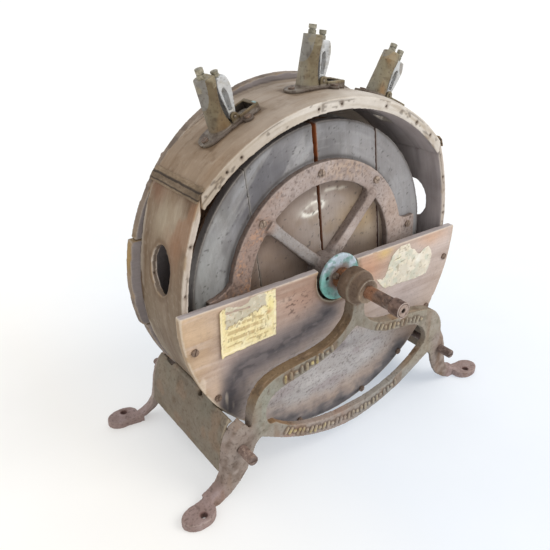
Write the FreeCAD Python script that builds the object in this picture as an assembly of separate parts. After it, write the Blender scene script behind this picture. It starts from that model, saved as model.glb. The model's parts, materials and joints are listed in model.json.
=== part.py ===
import FreeCAD, Part
import os, math
from FreeCAD import Vector

# Hand-cranked rotary knife cleaner, bench type. Millimetres, +Z up, +X to the right seen from the
# crank side, +Y away from the crank, so front is -Y. The origin is on the bench under the shaft,
# half way through the drum. Angles of places run from +X towards +Z.

os.makedirs("parts", exist_ok=True)

# ---- shaft ----
SHAFT_Z = 211.4
SHAFT_R = 7.5
SHAFT_FRONT, SHAFT_REAR = -160.0, 112.0
RUN_GAP = 0.05               # radial running clearance in the two bearings
SLEEVE_R, SLEEVE_LEN = 9.5, 15.0

# ---- drum ----
BAND_HALF = 48.0             # half the drum's width
DRUM_R = 201.0               # lower part of the drum
PANEL_T = 8.0
SIDE_R = 303.6               # flatter bend of the panels above the shaft
SIDE_CX = DRUM_R - SIDE_R    # centre of that bend for the right panel
PANEL_MID_R = DRUM_R - PANEL_T / 2
SIDE_MID_R = SIDE_R - PANEL_T / 2
ARCH_R, ARCH_CZ, ARCH_T = 245.0, 172.0, 16.6
CROWN_Z = ARCH_CZ + ARCH_R
ARCH_EDGE_R, ARCH_EDGE_W = 241.4, 14.0   # worn front edge: its radius, and how far back it goes
ARCH_X, JOINT_Z = 171.0, 343.0           # where arch and panel meet
ARCH_HALF_ANGLE = math.degrees(math.asin(ARCH_X / ARCH_R))
NAIL_R = 234.9               # circle of the empty nail holes in the arch
ARCH_NAILS = (50.5, 58.5, 73, 89.5, 97.2, 122, 127)
PANEL_NAILS = (6, 16, 26)
HAND_CZ, HAND_HALF_Z, HAND_HALF_Y = 253.0, 27.5, 20.5   # oval hand hole

# ---- end boards ----
BOARD_CZ, BOARD_R, BOARD_T = 220.0, 209.0, 10.0
BOARD_TOP = 225.0            # straight upper edge of the front board
NOTCH_R = 32.0
FRONT_FACE = -BAND_HALF - BOARD_T
REAR_T = 12.0
REAR_FACE = BAND_HALF + REAR_T
REAR_SEAMS, SEAM_HALF = (165.0, 271.0), 0.3
REAR_BOARDS = (              # name, radius, bottom, top
    ("lower", 207.5, 0, REAR_SEAMS[0] - SEAM_HALF),
    ("middle", 211.5, REAR_SEAMS[0] + SEAM_HALF, REAR_SEAMS[1] - SEAM_HALF),
    ("upper", 207.5, REAR_SEAMS[1] + SEAM_HALF, 500))
REAR_BORE_R = 22.0
FRONT_SCREW_ANGLES = (-8.5, -30, -52, -74, -106, -128, -150, -171.5)
REAR_SCREW_ANGLES = (-5, -28, -50, -75, -105, -130, -152, -175)
ARCH_SCREW_ANGLES = (50, 70, 110, 130)
SIDE_SCREW_ANGLE = 8
FRONT_SCREW_LEN, REAR_SCREW_LEN, SPIDER_SCREW_LEN = 24, 26, 18
SCREW_R = 1.75
HOLE_R = SCREW_R + 0.03

# paper labels: x, z round the outline
LABEL_T = 0.4
LABELS = {
    "left": [(-165, 163), (-165, 218.5), (-152, 222.5), (-137, 217), (-129, 219), (-125, 223.5),
             (-113, 224.4), (-91, 224.4), (-91, 164), (-129, 164)],
    "right": [(65, 186), (75, 183), (81, 185), (85, 199), (90, 212), (106, 222), (122, 221),
              (125, 214), (133, 210), (142, 200), (151, 205), (161, 208), (169, 190), (166, 176),
              (161, 165), (141, 164), (123, 165), (104, 166), (81, 167)]}

# ---- rotor ----
DISC_R, DISC_T = 175.0, 12.0
DISC_IN = 12.0               # inner face of each disc from the middle plane
DISC_TURN = 8.0              # the disc boards lie this many degrees off vertical
PAD_T, PAD_RI, PAD_RO = 8.0, 62.0, 172.0
RING_RI, RING_RO = 107.0, 132.0
SPIDER_T = 8.7
SPIDER_BACK = -DISC_IN - DISC_T
SPIDER_FRONT = SPIDER_BACK - SPIDER_T
LUG_STEP = 1.5               # the lugs' face lies this far behind the ring's
# outer edge of the two lugs: radius, and half the lug's width there in degrees
LUG_RIGHT = ((126.0, 17.5), (130.5, 14.8), (135.0, 11.4), (142.0, 9.4), (150.0, 8.5), (160.0, 8.2))
LUG_LEFT = ((126.0, 17.5), (129.5, 16.4), (133.0, 11.6), (138.4, 8.8), (146.0, 7.1), (152.0, 6.2),
            (160.0, 5.6))
LUGS = ((4.0, LUG_RIGHT), (184.0, LUG_LEFT))
SPOKE_ANGLES = (48, 138, 228, 318)
# spoke seen from the front: distance from the shaft, half width
SPOKE_PLAN = [(0, 8.2), (RING_RI - 14, 6.4), (RING_RI - 6, 7.4), (RING_RI - 1, 9.6),
              (RING_RI + 5, 14.5)]
# half of the spoke's cross-section: distance from its centre line, y
SPOKE_SECTION = [(15, SPIDER_BACK), (15, SPIDER_FRONT + 0.6), (8.2, SPIDER_FRONT + 0.2),
                 (7.2, SPIDER_FRONT - 2.4), (4.6, SPIDER_FRONT - 4.6)]
HUB_R, HUB_FRONT = 20.0, -56.9
# angle, radius of each spider screw; the last two are in the lugs
SPIDER_SCREWS = ((51, 123), (95, 120), (139, 120), (230, 120), (275, 120), (321, 120),
                 (9, 146), (187, 146))
FLANGE_R, FLANGE_FRONT, FLANGE_REAR = 29.0, -61.5, -57.0
COLLAR_R = 12.5

# ---- stand ----
ARM_FRONT = 95.0             # distance of the frames' outer faces from the middle
ARM_T = 9.0
FRAME_DEPTH = 15.0           # how far in the arm's top rib and the legs reach
FOOT_X, FOOT_Y = 222.0, 104.0
FOOT_HOLE_R, FOOT_T = 4.0, 9.5
ROD_X, ROD_Z, ROD_R = 165.0, 63.5, 4.5
ROD_HEAD_R = 5.8
ROD_REAR = 112.0
ROD_SIDES = (("left", -1, -118.0), ("right", 1, -115.0))   # name, side, front of the head
NUT_FLATS, NUT_T = 15.0, 7.0
CRADLE_RI, CRADLE_RO = DRUM_R + 0.05, DRUM_R + 5.0
SADDLE_SPOTS = [(-41.0, -30.0), (-41.0, 30.0)]             # screws: angle, y
SADDLE_SCREW_LEN = 11.0

# frame casting, front view: x, z
ARM_TOP_LEFT = [
    (-151, 78), (-151, 92), (-149, 106), (-144.5, 119), (-137, 129), (-127, 135.5), (-113, 140),
    (-99, 142.2), (-85, 143.4), (-71, 144.5), (-57, 146), (-45, 148.6), (-34.5, 152.4),
    (-24.5, 158.5), (-16.9, 165.6), (-11.2, 173), (-9.2, 181), (-8.8, 192)]
ARM_TOP_RIGHT = [
    (8.8, 192), (9.2, 184), (10.0, 177), (12.5, 171), (17.8, 164.8), (27.2, 157.3), (38, 152),
    (49, 148.6), (63.3, 146.2), (81.5, 145), (102, 143.4), (117.7, 141), (133, 136.5),
    (144.5, 130), (153.5, 120.5), (159.3, 109.5), (161.8, 98), (161.6, 81)]
BOW_LEFT = [(-141, 68), (-113, 52), (-83, 37), (-51, 26), (-18, 19.5), (0, 18.5)]
BOW_RIGHT_END = (147, 71)
# eye-shaped opening between arm and lower bow
EYE_TOP_LEFT = [
    (-126, 79), (-130.5, 87), (-131, 100), (-127, 111.5), (-120, 117.6), (-113, 120.5),
    (-104.8, 122.6), (-96.4, 124.4), (-85, 126.3), (-72, 128.6), (-61.9, 131), (-53, 133.5),
    (-41.2, 137), (-32.2, 140.8), (-23.2, 145.5), (-15.8, 150.8), (-7.5, 157.2), (-1.0, 161.5)]
EYE_TOP_RIGHT = [
    (-1.0, 161.5), (9.5, 154.6), (21.8, 147), (36.2, 139.8), (50.7, 134.4), (65.4, 131),
    (84, 128.6), (95.4, 126.6), (107.3, 122.4), (118.1, 115), (126.5, 105.5), (130, 96.5),
    (129.2, 88.4), (124, 83)]
EYE_LOW_LEFT = [(-118, 78), (-84, 56), (-52, 46), (-20, 41.5), (0, 41)]
EYE_RIGHT_END = (121, 79.5)

# leg: distance from the middle plane, z
LEG_IN = [(146, 62), (151, 46), (158, 31), (168, 18), (182, 7), (196, 0.0), (212, 0.0)]
LEG_FACE = [(212, 10.0), (202, 12.5), (191, 17.5), (182, 27), (175.5, 40), (170.5, 58),
            (165, 70.5), (158.5, 79), (150, 86)]
LEG_FULL = [(212, 11.5), (203, 15), (194, 21.5), (188.5, 31), (186.5, 47), (184.5, 64),
            (180.5, 78), (173, 90), (162, 96)]
LEG_BRIDGE = [(140, 66), (147, 60), (160, 66), (158, 79), (150, 90), (144, 88)]
# root of the foot pad, seen from above: distance from the middle plane, y
FOOT_ROOT = [(203, -93.0), (208.5, -99.5), (214, -107.5), (219.5, -112.0), (226, -113.0),
             (226, -86.0), (216, -83.9), (209, -82.6), (203, -82.0)]
# right saddle: x, z
SADDLE_OUTER = [(171, 98.5), (175, 93), (180.5, 80), (184.5, 64), (186.5, 47), (188.3, 31)]
SADDLE_WEB = [(163.0, 97.5), (171, 98.5), (176, 88), (168, 84), (154, 76), (150, 76)]
SADDLE_T = 5.0

# ---- knife holders, drawn on the crown of the arch and swung to their angle ----
# name, angle from the crown, lean from square to the drum, length of the jaw post
HOLDERS = (("left", -26.0, 7.0, 5.5), ("middle", 0.8, 6.5, 9.5), ("right", 25.5, 2.0, 12.5))
TUBE_H = 53.0
TUBE_X = -9.0                # tube axis
PIVOT_X, PIVOT_Z = 4.6, CROWN_Z + 8.0
PIN_R = 1.5
MOUTH_X0, MOUTH_X1, MOUTH_HALF = 11.0, 29.0, 10.0
SEAT_HALF, SEAT_T = 15.0, 3.0
SEAT_R = ARCH_R + SEAT_T
STEM_R = 1.5                 # stem under each post
CAP_POST_X, CAP_POST_LEN = TUBE_X - 2.0, 9.5
JAW_HALF, JAW_TOP, JAW_POST_X = 7.0, TUBE_H - 4.5, 3.7
HOLDER_SCREWS = ((-31.0, 0.0), (14.0, -17.4), (14.0, 17.4))   # x, y

Y_AXIS = Vector(0, 1, 0)


# ---- helpers ----
def cylinder(radius, y0, y1, x=0.0, z=SHAFT_Z):
    """Cylinder along Y; the ends may come in either order."""
    return Part.makeCylinder(radius, abs(y1 - y0), Vector(x, min(y0, y1), z), Y_AXIS)


def cylinder_x(radius, x0, x1, y):
    """Cylinder along X at shaft height, drawn from x0 to x1."""
    return Part.makeCylinder(radius, abs(x1 - x0), Vector(x0, y, SHAFT_Z), Vector(x1 - x0, 0, 0))


def cylinder_z(radius, height, x, y, z):
    return Part.makeCylinder(radius, height, Vector(x, y, z))


def cone(r0, r1, y0, y1, z=SHAFT_Z):
    return Part.makeCone(r0, r1, y1 - y0, Vector(0, y0, z), Y_AXIS)


def box(x0, x1, y0, y1, z0, z1):
    return Part.makeBox(x1 - x0, y1 - y0, z1 - z0, Vector(x0, y0, z0))


def line(start, end, y):
    return Part.makeLine(Vector(start[0], y, start[1]), Vector(end[0], y, end[1]))


def spline(points, y):
    curve = Part.BSplineCurve()
    curve.interpolate([Vector(x, y, z) for x, z in points])
    return curve.toShape()


def edge_prism(edges, depth):
    return Part.Face(Part.Wire(Part.__sortEdges__(edges))).extrude(Vector(0, depth, 0))


def spline_prism(y, depth, *curves):
    """Prism inside splines taken in turn, with lines across the gaps between them."""
    edges = []
    for curve, following in zip(curves, curves[1:] + curves[:1]):
        edges.append(spline(curve, y))
        if curve[-1] != following[0]:
            edges.append(line(curve[-1], following[0], y))
    return edge_prism(edges, depth)


def closed(points):
    return Part.makePolygon(points + [points[0]])


def polygon_prism(outline, y0, y1):
    face = Part.Face(closed([Vector(x, y0, z) for x, z in outline]))
    return face.extrude(Vector(0, y1 - y0, 0))


def polar(radius, degrees, x=0.0, z=SHAFT_Z):
    angle = math.radians(degrees)
    return (x + radius * math.cos(angle), z + radius * math.sin(angle))


def sector(r0, r1, a0, a1, y0, y1, x=0.0, z=SHAFT_Z):
    """Ring sector about (x, z)."""
    def at(radius, degrees):
        px, pz = polar(radius, degrees, x, z)
        return Vector(px, y0, pz)
    middle = (a0 + a1) / 2
    edges = [Part.Arc(at(r1, a0), at(r1, middle), at(r1, a1)).toShape(),
             Part.makeLine(at(r1, a1), at(r0, a1)),
             Part.Arc(at(r0, a1), at(r0, middle), at(r0, a0)).toShape(),
             Part.makeLine(at(r0, a0), at(r1, a0))]
    return Part.Face(Part.Wire(edges)).extrude(Vector(0, y1 - y0, 0))


def turn(shape, degrees, z=SHAFT_Z, x=0.0):
    """Turn the shape itself about the Y line through (x, z); positive goes from +Z to +X."""
    shape.rotate(Vector(x, 0, z), Y_AXIS, degrees)
    return shape


def on_side(side, points):
    return [(side * x, other) for x, other in points]


def drill(shape, holes):
    for hole in holes:
        shape = shape.cut(hole)
    return shape


def export(name, *shapes):
    shape = shapes[0] if len(shapes) == 1 else Part.makeCompound(list(shapes))
    shape.exportStep("parts/%s.step" % name)


def export_mirrored(names, normal, shapes):
    export(names[0], *shapes)
    export(names[1], *[shape.mirror(Vector(0, 0, 0), normal) for shape in shapes])


def export_right_left(name, *shapes):
    export_mirrored(("right_" + name, "left_" + name), Vector(1, 0, 0), shapes)


def export_front_rear(name, *shapes):
    export_mirrored(("front_" + name, "rear_" + name), Y_AXIS, shapes)


# ---- screws along Y ----
def slotted_screw(x, z, face_y, length, head_r=4.2, outward=-1):
    """Screw with its head on the plane face_y; outward is the side of the head."""
    head_h = 2.0
    screw = cylinder(head_r, face_y, face_y + outward * head_h, x, z)
    screw = screw.fuse(cylinder(SCREW_R, face_y, face_y - outward * length, x, z))
    y0, y1 = sorted((face_y + outward * head_h, face_y + outward * head_h * 0.45))
    slot = box(x - head_r - 1, x + head_r + 1, y0, y1, z - 0.5, z + 0.5)
    # each slot stops at its own angle
    return screw.cut(turn(slot, (x * 7 + z * 13) % 180, z, x)).removeSplitter()


def screw_hole(x, z, face_y, depth, outward=-1):
    return cylinder(HOLE_R, face_y + outward, face_y - outward * depth, x, z)


# ---- drum ----
def top_arch():
    arch = sector(ARCH_R - ARCH_T, ARCH_R, 90 - ARCH_HALF_ANGLE - 3, 90 + ARCH_HALF_ANGLE + 3,
                  -BAND_HALF, BAND_HALF, z=ARCH_CZ)
    arch = arch.common(box(-ARCH_X, ARCH_X, -60, 60, 200, 500))
    # worn front edge
    y0, y1 = -BAND_HALF - 1, -BAND_HALF + ARCH_EDGE_W
    slope = (ARCH_R - ARCH_EDGE_R) / ARCH_EDGE_W
    wear = cylinder(ARCH_R + 6, y0, y1, 0, ARCH_CZ)
    arch = arch.cut(wear.cut(cone(ARCH_EDGE_R - slope, ARCH_R, y0, y1, ARCH_CZ)))
    # sloping ends
    end = [(ARCH_X + 1, JOINT_Z - 1.2), (ARCH_X - 18, JOINT_Z + 20.6), (ARCH_X - 18, 400),
           (ARCH_X + 30, 400), (ARCH_X + 30, JOINT_Z - 1.2)]
    for side in (1, -1):
        arch = arch.cut(polygon_prism(on_side(side, end), -60, 60))
    # knife slots under the holders
    for _, angle, _, _ in HOLDERS:
        slot = box(MOUTH_X0 - 0.5, MOUTH_X1 + 0.5, -MOUTH_HALF - 0.5, MOUTH_HALF + 0.5,
                   CROWN_Z - 20, CROWN_Z + 5)
        arch = arch.cut(turn(slot, angle, ARCH_CZ))
    for angle in ARCH_NAILS:
        x, z = polar(NAIL_R, angle, z=ARCH_CZ)
        arch = arch.cut(cylinder(1.1, -BAND_HALF - 1, -BAND_HALF + 12, x, z))
    return arch


def right_panel():
    """Bent side panel with an oval hand hole above the shaft."""
    upper = sector(SIDE_R - PANEL_T, SIDE_R, 0, 32, -BAND_HALF, BAND_HALF, x=SIDE_CX)
    upper = upper.common(box(ARCH_X, 300, -60, 60, SHAFT_Z - 1, 500))
    lower = sector(DRUM_R - PANEL_T, DRUM_R, -89.98, 0, -BAND_HALF, BAND_HALF)
    panel = upper.fuse(lower).removeSplitter()
    oval = Part.Ellipse(Vector(0, 0, 0), HAND_HALF_Z, HAND_HALF_Y).toShape()
    hand_hole = Part.Face(Part.Wire(oval)).extrude(Vector(0, 0, 80))
    turn(hand_hole, 90, 0)       # long axis along Z, drawn along +X
    hand_hole.translate(Vector(150, 0, HAND_CZ))
    panel = panel.cut(hand_hole)
    for angle in PANEL_NAILS:
        x, z = polar(SIDE_MID_R, angle, x=SIDE_CX)
        panel = panel.cut(cylinder(1.0, -BAND_HALF - 1, -BAND_HALF + 10, x, z))
    return panel


def build_front_board(panel):
    """Export the front board and its screws; return the right panel drilled for them."""
    spots = [polar(PANEL_MID_R, angle) for angle in FRONT_SCREW_ANGLES]
    board = cylinder(BOARD_R, FRONT_FACE, -BAND_HALF, 0, BOARD_CZ)
    board = board.cut(box(-300, 300, -70, -40, BOARD_TOP, 500)).cut(cylinder(NOTCH_R, -70, -40))
    for x, z in spots:
        hole = screw_hole(x, z, FRONT_FACE, FRONT_SCREW_LEN + 0.5)
        board = board.cut(hole)
        if x > 0:
            panel = panel.cut(hole)
    export("front_board", board.removeSplitter())
    export("front_board_screws",
           *[slotted_screw(x, z, FRONT_FACE, FRONT_SCREW_LEN) for x, z in spots])
    for name, outline in LABELS.items():
        export(name + "_label", polygon_prism(outline, FRONT_FACE - LABEL_T, FRONT_FACE))
    return panel


def build_rear_boards(arch, panel):
    """Export the rear boards and their screws; return arch and right panel drilled for them."""
    side_x, side_z = polar(SIDE_MID_R, SIDE_SCREW_ANGLE, x=SIDE_CX)
    arch_spots = [polar(ARCH_R - ARCH_T / 2, a, z=ARCH_CZ) for a in ARCH_SCREW_ANGLES]
    panel_spots = [polar(PANEL_MID_R, a) for a in REAR_SCREW_ANGLES]
    panel_spots += [(side_x, side_z), (-side_x, side_z)]

    def holes_at(spots):
        return [screw_hole(x, z, REAR_FACE, REAR_SCREW_LEN + 0.5, outward=1) for x, z in spots]
    for name, radius, bottom, top in REAR_BOARDS:
        board = cylinder(radius, BAND_HALF, REAR_FACE, 0, BOARD_CZ)
        board = board.common(box(-300, 300, 40, 70, bottom, top))
        if name == "middle":
            board = board.cut(cylinder(REAR_BORE_R, 40, 70))
        board = drill(board, holes_at(arch_spots + panel_spots))
        export("rear_board_" + name, board.removeSplitter())
    export("rear_board_screws", *[slotted_screw(x, z, REAR_FACE, REAR_SCREW_LEN, outward=1)
                                  for x, z in arch_spots + panel_spots])
    right_spots = [spot for spot in panel_spots if spot[0] > 0]
    return drill(arch, holes_at(arch_spots)), drill(panel, holes_at(right_spots))


def saddle_screw(angle, y):
    """Wood screw from the saddle's flange into the band."""
    screw = cylinder_x(SCREW_R, CRADLE_RO, CRADLE_RO - SADDLE_SCREW_LEN, y)
    screw = screw.fuse(cylinder_x(4.0, CRADLE_RO, CRADLE_RO + 2.0, y))
    return turn(screw, -angle).removeSplitter()


def saddle_hole(angle, y, r0, r1):
    return turn(cylinder_x(HOLE_R, r0, r1, y), -angle)


def corner_strip(arch, panel):
    """Thin strip that covers the joint between arch and right panel."""
    corner = Vector(ARCH_X + 0.05, -BAND_HALF, JOINT_Z + 0.05)
    arch_angle = math.radians(90 - ARCH_HALF_ANGLE)
    panel_angle = math.atan2(corner.z - SHAFT_Z, corner.x - SIDE_CX)
    up_arch = Vector(-math.sin(arch_angle), 0, math.cos(arch_angle))
    down_panel = Vector(math.sin(panel_angle), 0, -math.cos(panel_angle))
    off_arch = Vector(math.cos(arch_angle), 0, math.sin(arch_angle))
    off_panel = Vector(math.cos(panel_angle), 0, math.sin(panel_angle))
    arch_end, panel_end = corner + up_arch * 7, corner + down_panel * 9
    points = [arch_end + off_arch * 0.35, corner + off_arch * 0.2, panel_end + off_panel * 0.3,
              panel_end + off_panel * 2.0, corner + (off_arch + off_panel) * 1.25,
              arch_end + off_arch * 2.0]
    strip = Part.Face(closed(points)).extrude(Vector(0, 2 * BAND_HALF, 0))
    return strip.cut(arch).cut(panel)


def build_drum():
    """Export the drum but for its arch, which is returned for the holders' screws."""
    arch = top_arch()
    panel = build_front_board(right_panel())
    arch, panel = build_rear_boards(arch, panel)
    panel = drill(panel, [saddle_hole(angle, y, CRADLE_RO - SADDLE_SCREW_LEN - 0.5, CRADLE_RO + 1)
                          for angle, y in SADDLE_SPOTS])
    panel = panel.removeSplitter()
    export_right_left("panel", panel)
    export_right_left("corner_strip", corner_strip(arch, panel))
    return arch


# ---- rotor ----
def build_shaft():
    shaft = cylinder(SHAFT_R, SHAFT_FRONT, SHAFT_REAR)
    shaft = shaft.cut(cylinder(2.5, SHAFT_FRONT - 1, SHAFT_FRONT + 18))
    rear_edges = [e for e in shaft.Edges if e.BoundBox.YMin > SHAFT_REAR - 0.1]
    export("shaft", shaft.makeChamfer(0.8, rear_edges))
    sleeve = cylinder(SLEEVE_R, SHAFT_FRONT, SHAFT_FRONT + SLEEVE_LEN)
    export("crank_seat_sleeve", sleeve.cut(cylinder(SHAFT_R, SHAFT_FRONT - 1, SHAFT_FRONT + 30)))


def disc_boards():
    """Four boards side by side, for the disc on the crank side."""
    disc = cylinder(DISC_R, SPIDER_BACK, -DISC_IN).cut(cylinder(SHAFT_R + 0.1, -40, 0))
    # tight seam, a seam that has shrunk open towards the top, and an open seam
    cutters = [box(-DISC_R - 1, -86.1, -40, 0, 30, 395),
               box(-85.9, 5.8, -40, 0, 30, 395),
               polygon_prism([(6.3, 30), (98.9, 30), (98.9, 395), (11.6, 395), (6.3, 150)], -40, 0),
               box(100.3, DISC_R + 1, -40, 0, 30, 395)]
    return [disc.common(turn(cutter, -DISC_TURN)) for cutter in cutters]


def spider_lug(angle, profile):
    edge = [polar(r, angle - half) for r, half in profile]
    edge += [polar(r, angle + half) for r, half in reversed(profile)]
    edge += [polar(RING_RI + 6, angle + 12), polar(RING_RI + 6, angle - 12)]
    return polygon_prism(edge, SPIDER_FRONT + LUG_STEP, SPIDER_BACK)


def spider_spoke(angle):
    """Spoke with sloping sides, spreading where it runs into the ring."""
    plan = [(x, SHAFT_Z - half) for x, half in SPOKE_PLAN]
    plan += [(x, SHAFT_Z + half) for x, half in reversed(SPOKE_PLAN)]
    spoke = polygon_prism(plan, SPIDER_FRONT - 6, SPIDER_BACK)
    section = on_side(-1, SPOKE_SECTION) + SPOKE_SECTION[::-1]
    face = Part.Face(closed([Vector(0, y, SHAFT_Z + offset) for offset, y in section]))
    return turn(spoke.common(face.extrude(Vector(RING_RI + 8, 0, 0))), -angle)


def front_spider():
    spider = cylinder(RING_RO, SPIDER_FRONT, SPIDER_BACK)
    spider = spider.cut(cylinder(RING_RI, SPIDER_FRONT - 1, SPIDER_BACK + 1))
    for angle, profile in LUGS:
        spider = spider.fuse(spider_lug(angle, profile))
    for angle in SPOKE_ANGLES:
        spider = spider.fuse(spider_spoke(angle))
    spider = spider.fuse(cylinder(HUB_R, HUB_FRONT, SPIDER_BACK))
    return spider.cut(cylinder(SHAFT_R, -80, 0)).removeSplitter()


def build_discs():
    """Export discs, pads and spiders; the rear ones are mirror images of the front ones."""
    screws, holes = [], []
    for angle, radius in SPIDER_SCREWS:
        x, z = polar(radius, angle)
        face_y = SPIDER_FRONT + (LUG_STEP if radius > 140 else 0)
        screws.append(slotted_screw(x, z, face_y, SPIDER_SCREW_LEN, head_r=4.5))
        holes.append(screw_hole(x, z, face_y, SPIDER_SCREW_LEN + 0.4))
    spider = drill(front_spider(), holes).removeSplitter()
    export("front_spider", spider)
    # the rear hub is shorter
    rear_spider = spider.mirror(Vector(0, 0, 0), Y_AXIS)
    export("rear_spider", rear_spider.cut(box(-60, 60, 46, 70, SHAFT_Z - 60, SHAFT_Z + 60)))
    for i, board in enumerate(disc_boards()):
        export_front_rear("disc_board_%d" % (i + 1), drill(board, holes).removeSplitter())
    export_front_rear("spider_screws", *screws)
    pad = cylinder(PAD_RO, -DISC_IN, -DISC_IN + PAD_T)
    export_front_rear("pad", pad.cut(cylinder(PAD_RI, -DISC_IN - 1, -DISC_IN + PAD_T + 1)))


def build_brass_flange():
    flange = cylinder(FLANGE_R, FLANGE_FRONT, FLANGE_REAR).cut(cylinder(SHAFT_R, -80, 0))
    flange = flange.cut(cylinder(2.2, -80, -40, -19.5, SHAFT_Z + 3))
    rim = [e for e in flange.Edges if e.Length > 150 and e.BoundBox.YMin < FLANGE_FRONT + 0.5]
    export("brass_flange", flange.makeFillet(1.2, rim))


def collar_and_screw(y0, y1, screw_turn):
    """Collar on the shaft, and the set screw half way along it."""
    bore = cylinder(SHAFT_R, y0 - 1, y1 + 1)
    collar = cylinder(COLLAR_R, y0, y1).cut(bore)
    y = (y0 + y1) / 2
    screw = cylinder_x(2.5, -7.4, -14.4, y).fuse(cylinder_x(3.8, -13.0, -17.0, y))
    screw = turn(screw, screw_turn).cut(bore)
    return collar.cut(screw), screw


def build_collars():
    front, front_screw = collar_and_screw(-73.5, FLANGE_FRONT, 30)
    rear, rear_screw = collar_and_screw(63.0, 73.0, 0)
    export("front_collar", front)
    export("rear_collar", rear)
    export("collar_set_screws", front_screw, rear_screw)


# ---- stand ----
def leg(side):
    """Front leg, lofted in steps along a quarter-round from its face to its full width."""
    def flange_inside(outline):
        return [(x - 5.5 * min(1, (x - 140) / 40.0), z - (2.0 if x < 205 else 5.0))
                for x, z in outline]

    def wire(outline, y):
        return closed([Vector(side * x, y, z) for x, z in outline])
    stations = []
    for i in range(5):
        angle = i / 4.0 * math.pi / 2
        spread = math.sin(angle)
        outline = [(face[0] + (full[0] - face[0]) * spread, face[1] + (full[1] - face[1]) * spread)
                   for face, full in zip(LEG_FACE, LEG_FULL)]
        stations.append((-ARM_FRONT + FRAME_DEPTH * (1 - math.cos(angle)), outline))
    body = None
    for (y0, outline0), (y1, outline1) in zip(stations[:-1], stations[1:]):
        if y1 > -ARM_FRONT + ARM_T + 0.01:
            # behind the web only the outer flange goes on
            outline0 = outline0 + flange_inside(outline0)[::-1]
            outline1 = outline1 + flange_inside(outline1)[::-1]
        else:
            outline0, outline1 = LEG_IN + outline0, LEG_IN + outline1
        step = Part.makeLoft([wire(outline0, y0), wire(outline1, y1)], True, True)
        body = step if body is None else body.fuse(step)
    return body


def low_curve(left, right_end):
    """Left half and its mirror image, from right to left, with its own right end."""
    return (left + on_side(-1, left[::-1])[1:-1] + [right_end])[::-1]


def arm_rib():
    """Rib that runs back from the arm's upper edge."""
    rib = None
    for side, top in ((1, ARM_TOP_LEFT), (-1, ARM_TOP_RIGHT[::-1])):
        inner = []
        for i, (x, z) in enumerate(top):
            before, after = top[max(i - 1, 0)], top[min(i + 1, len(top) - 1)]
            run, rise = after[0] - before[0], after[1] - before[1]
            scale = side * 4.5 / math.hypot(run, rise)
            inner.append((x + rise * scale, z - run * scale))
        half = spline_prism(-ARM_FRONT, FRAME_DEPTH, top, inner[::-1])
        rib = half if rib is None else rib.fuse(half)
    return rib


def front_frame():
    y0, y1 = -ARM_FRONT, -ARM_FRONT + ARM_T
    frame = spline_prism(y0, ARM_T, ARM_TOP_LEFT, ARM_TOP_RIGHT,
                         low_curve(BOW_LEFT, BOW_RIGHT_END))
    frame = frame.cut(spline_prism(y0, ARM_T, EYE_TOP_LEFT, EYE_TOP_RIGHT,
                                   low_curve(EYE_LOW_LEFT, EYE_RIGHT_END)))
    frame = frame.fuse(arm_rib())
    # bearing boss
    frame = frame.fuse(cylinder(20.5, y0 - 0.01, -78.0)).fuse(cone(14.5, 20.5, -104.0, y0))
    frame = frame.fuse(cylinder(14.5, -108.0, -104.0))
    for side in (1, -1):
        frame = frame.fuse(leg(side))
        frame = frame.fuse(polygon_prism(on_side(side, LEG_BRIDGE), y0, y1))
        oval = Part.Ellipse(Vector(0, 0, 0), 20.0, 14.5).toShape()
        foot = Part.Face(Part.Wire(oval)).extrude(Vector(0, 0, FOOT_T))
        foot.translate(Vector(side * (FOOT_X + 3.5), -FOOT_Y + 4.5, 0))
        root = Part.Face(closed([Vector(x, y, 0) for x, y in on_side(side, FOOT_ROOT)]))
        frame = frame.fuse(foot).fuse(root.extrude(Vector(0, 0, FOOT_T)))
        frame = frame.cut(cylinder_z(FOOT_HOLE_R, 20, side * FOOT_X, -FOOT_Y, -1))
        frame = frame.cut(cylinder(ROD_R + 0.1, -120, -60, side * ROD_X, ROD_Z))
    return frame.cut(cylinder(SHAFT_R + RUN_GAP, -130, -60)).removeSplitter()


def right_saddle():
    inner = [(x - SADDLE_T, z - (1.5 if z > 80 else 0)) for x, z in SADDLE_OUTER]
    inner[0] = (165.0, 90.5)
    half = ARM_FRONT - FRAME_DEPTH
    saddle = spline_prism(-half, 2 * half, SADDLE_OUTER, inner[::-1])
    cradle = sector(CRADLE_RI, CRADLE_RO, -49, -33, -45.0, 45.0)
    saddle = saddle.fuse(cradle).fuse(polygon_prism(SADDLE_WEB, -45.0, 45.0))
    # clear the drum, the end boards and the tie rod
    saddle = saddle.cut(cylinder(CRADLE_RI, -90, 90))
    saddle = saddle.cut(cylinder(BOARD_R + 0.5, FRONT_FACE - 1, -BAND_HALF + 0.01, 0, BOARD_CZ))
    saddle = saddle.cut(cylinder(212.0, BAND_HALF - 0.01, REAR_FACE + 4, 0, BOARD_CZ))
    saddle = saddle.cut(cylinder(ROD_R + 0.3, -100, 100, ROD_X, ROD_Z))
    # round hole through the shoulder
    saddle = saddle.cut(Part.makeCylinder(4.0, 40, Vector(150, -20, 84), Vector(0.85, 0, 0.5)))
    for angle, y in SADDLE_SPOTS:
        saddle = saddle.cut(saddle_hole(angle, y, CRADLE_RI - 1, CRADLE_RO + 1))
        # clear space round the screw's head
        saddle = saddle.cut(turn(cylinder_x(5.0, CRADLE_RO, CRADLE_RO + 30, y), -angle))
    return saddle.removeSplitter()


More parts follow.
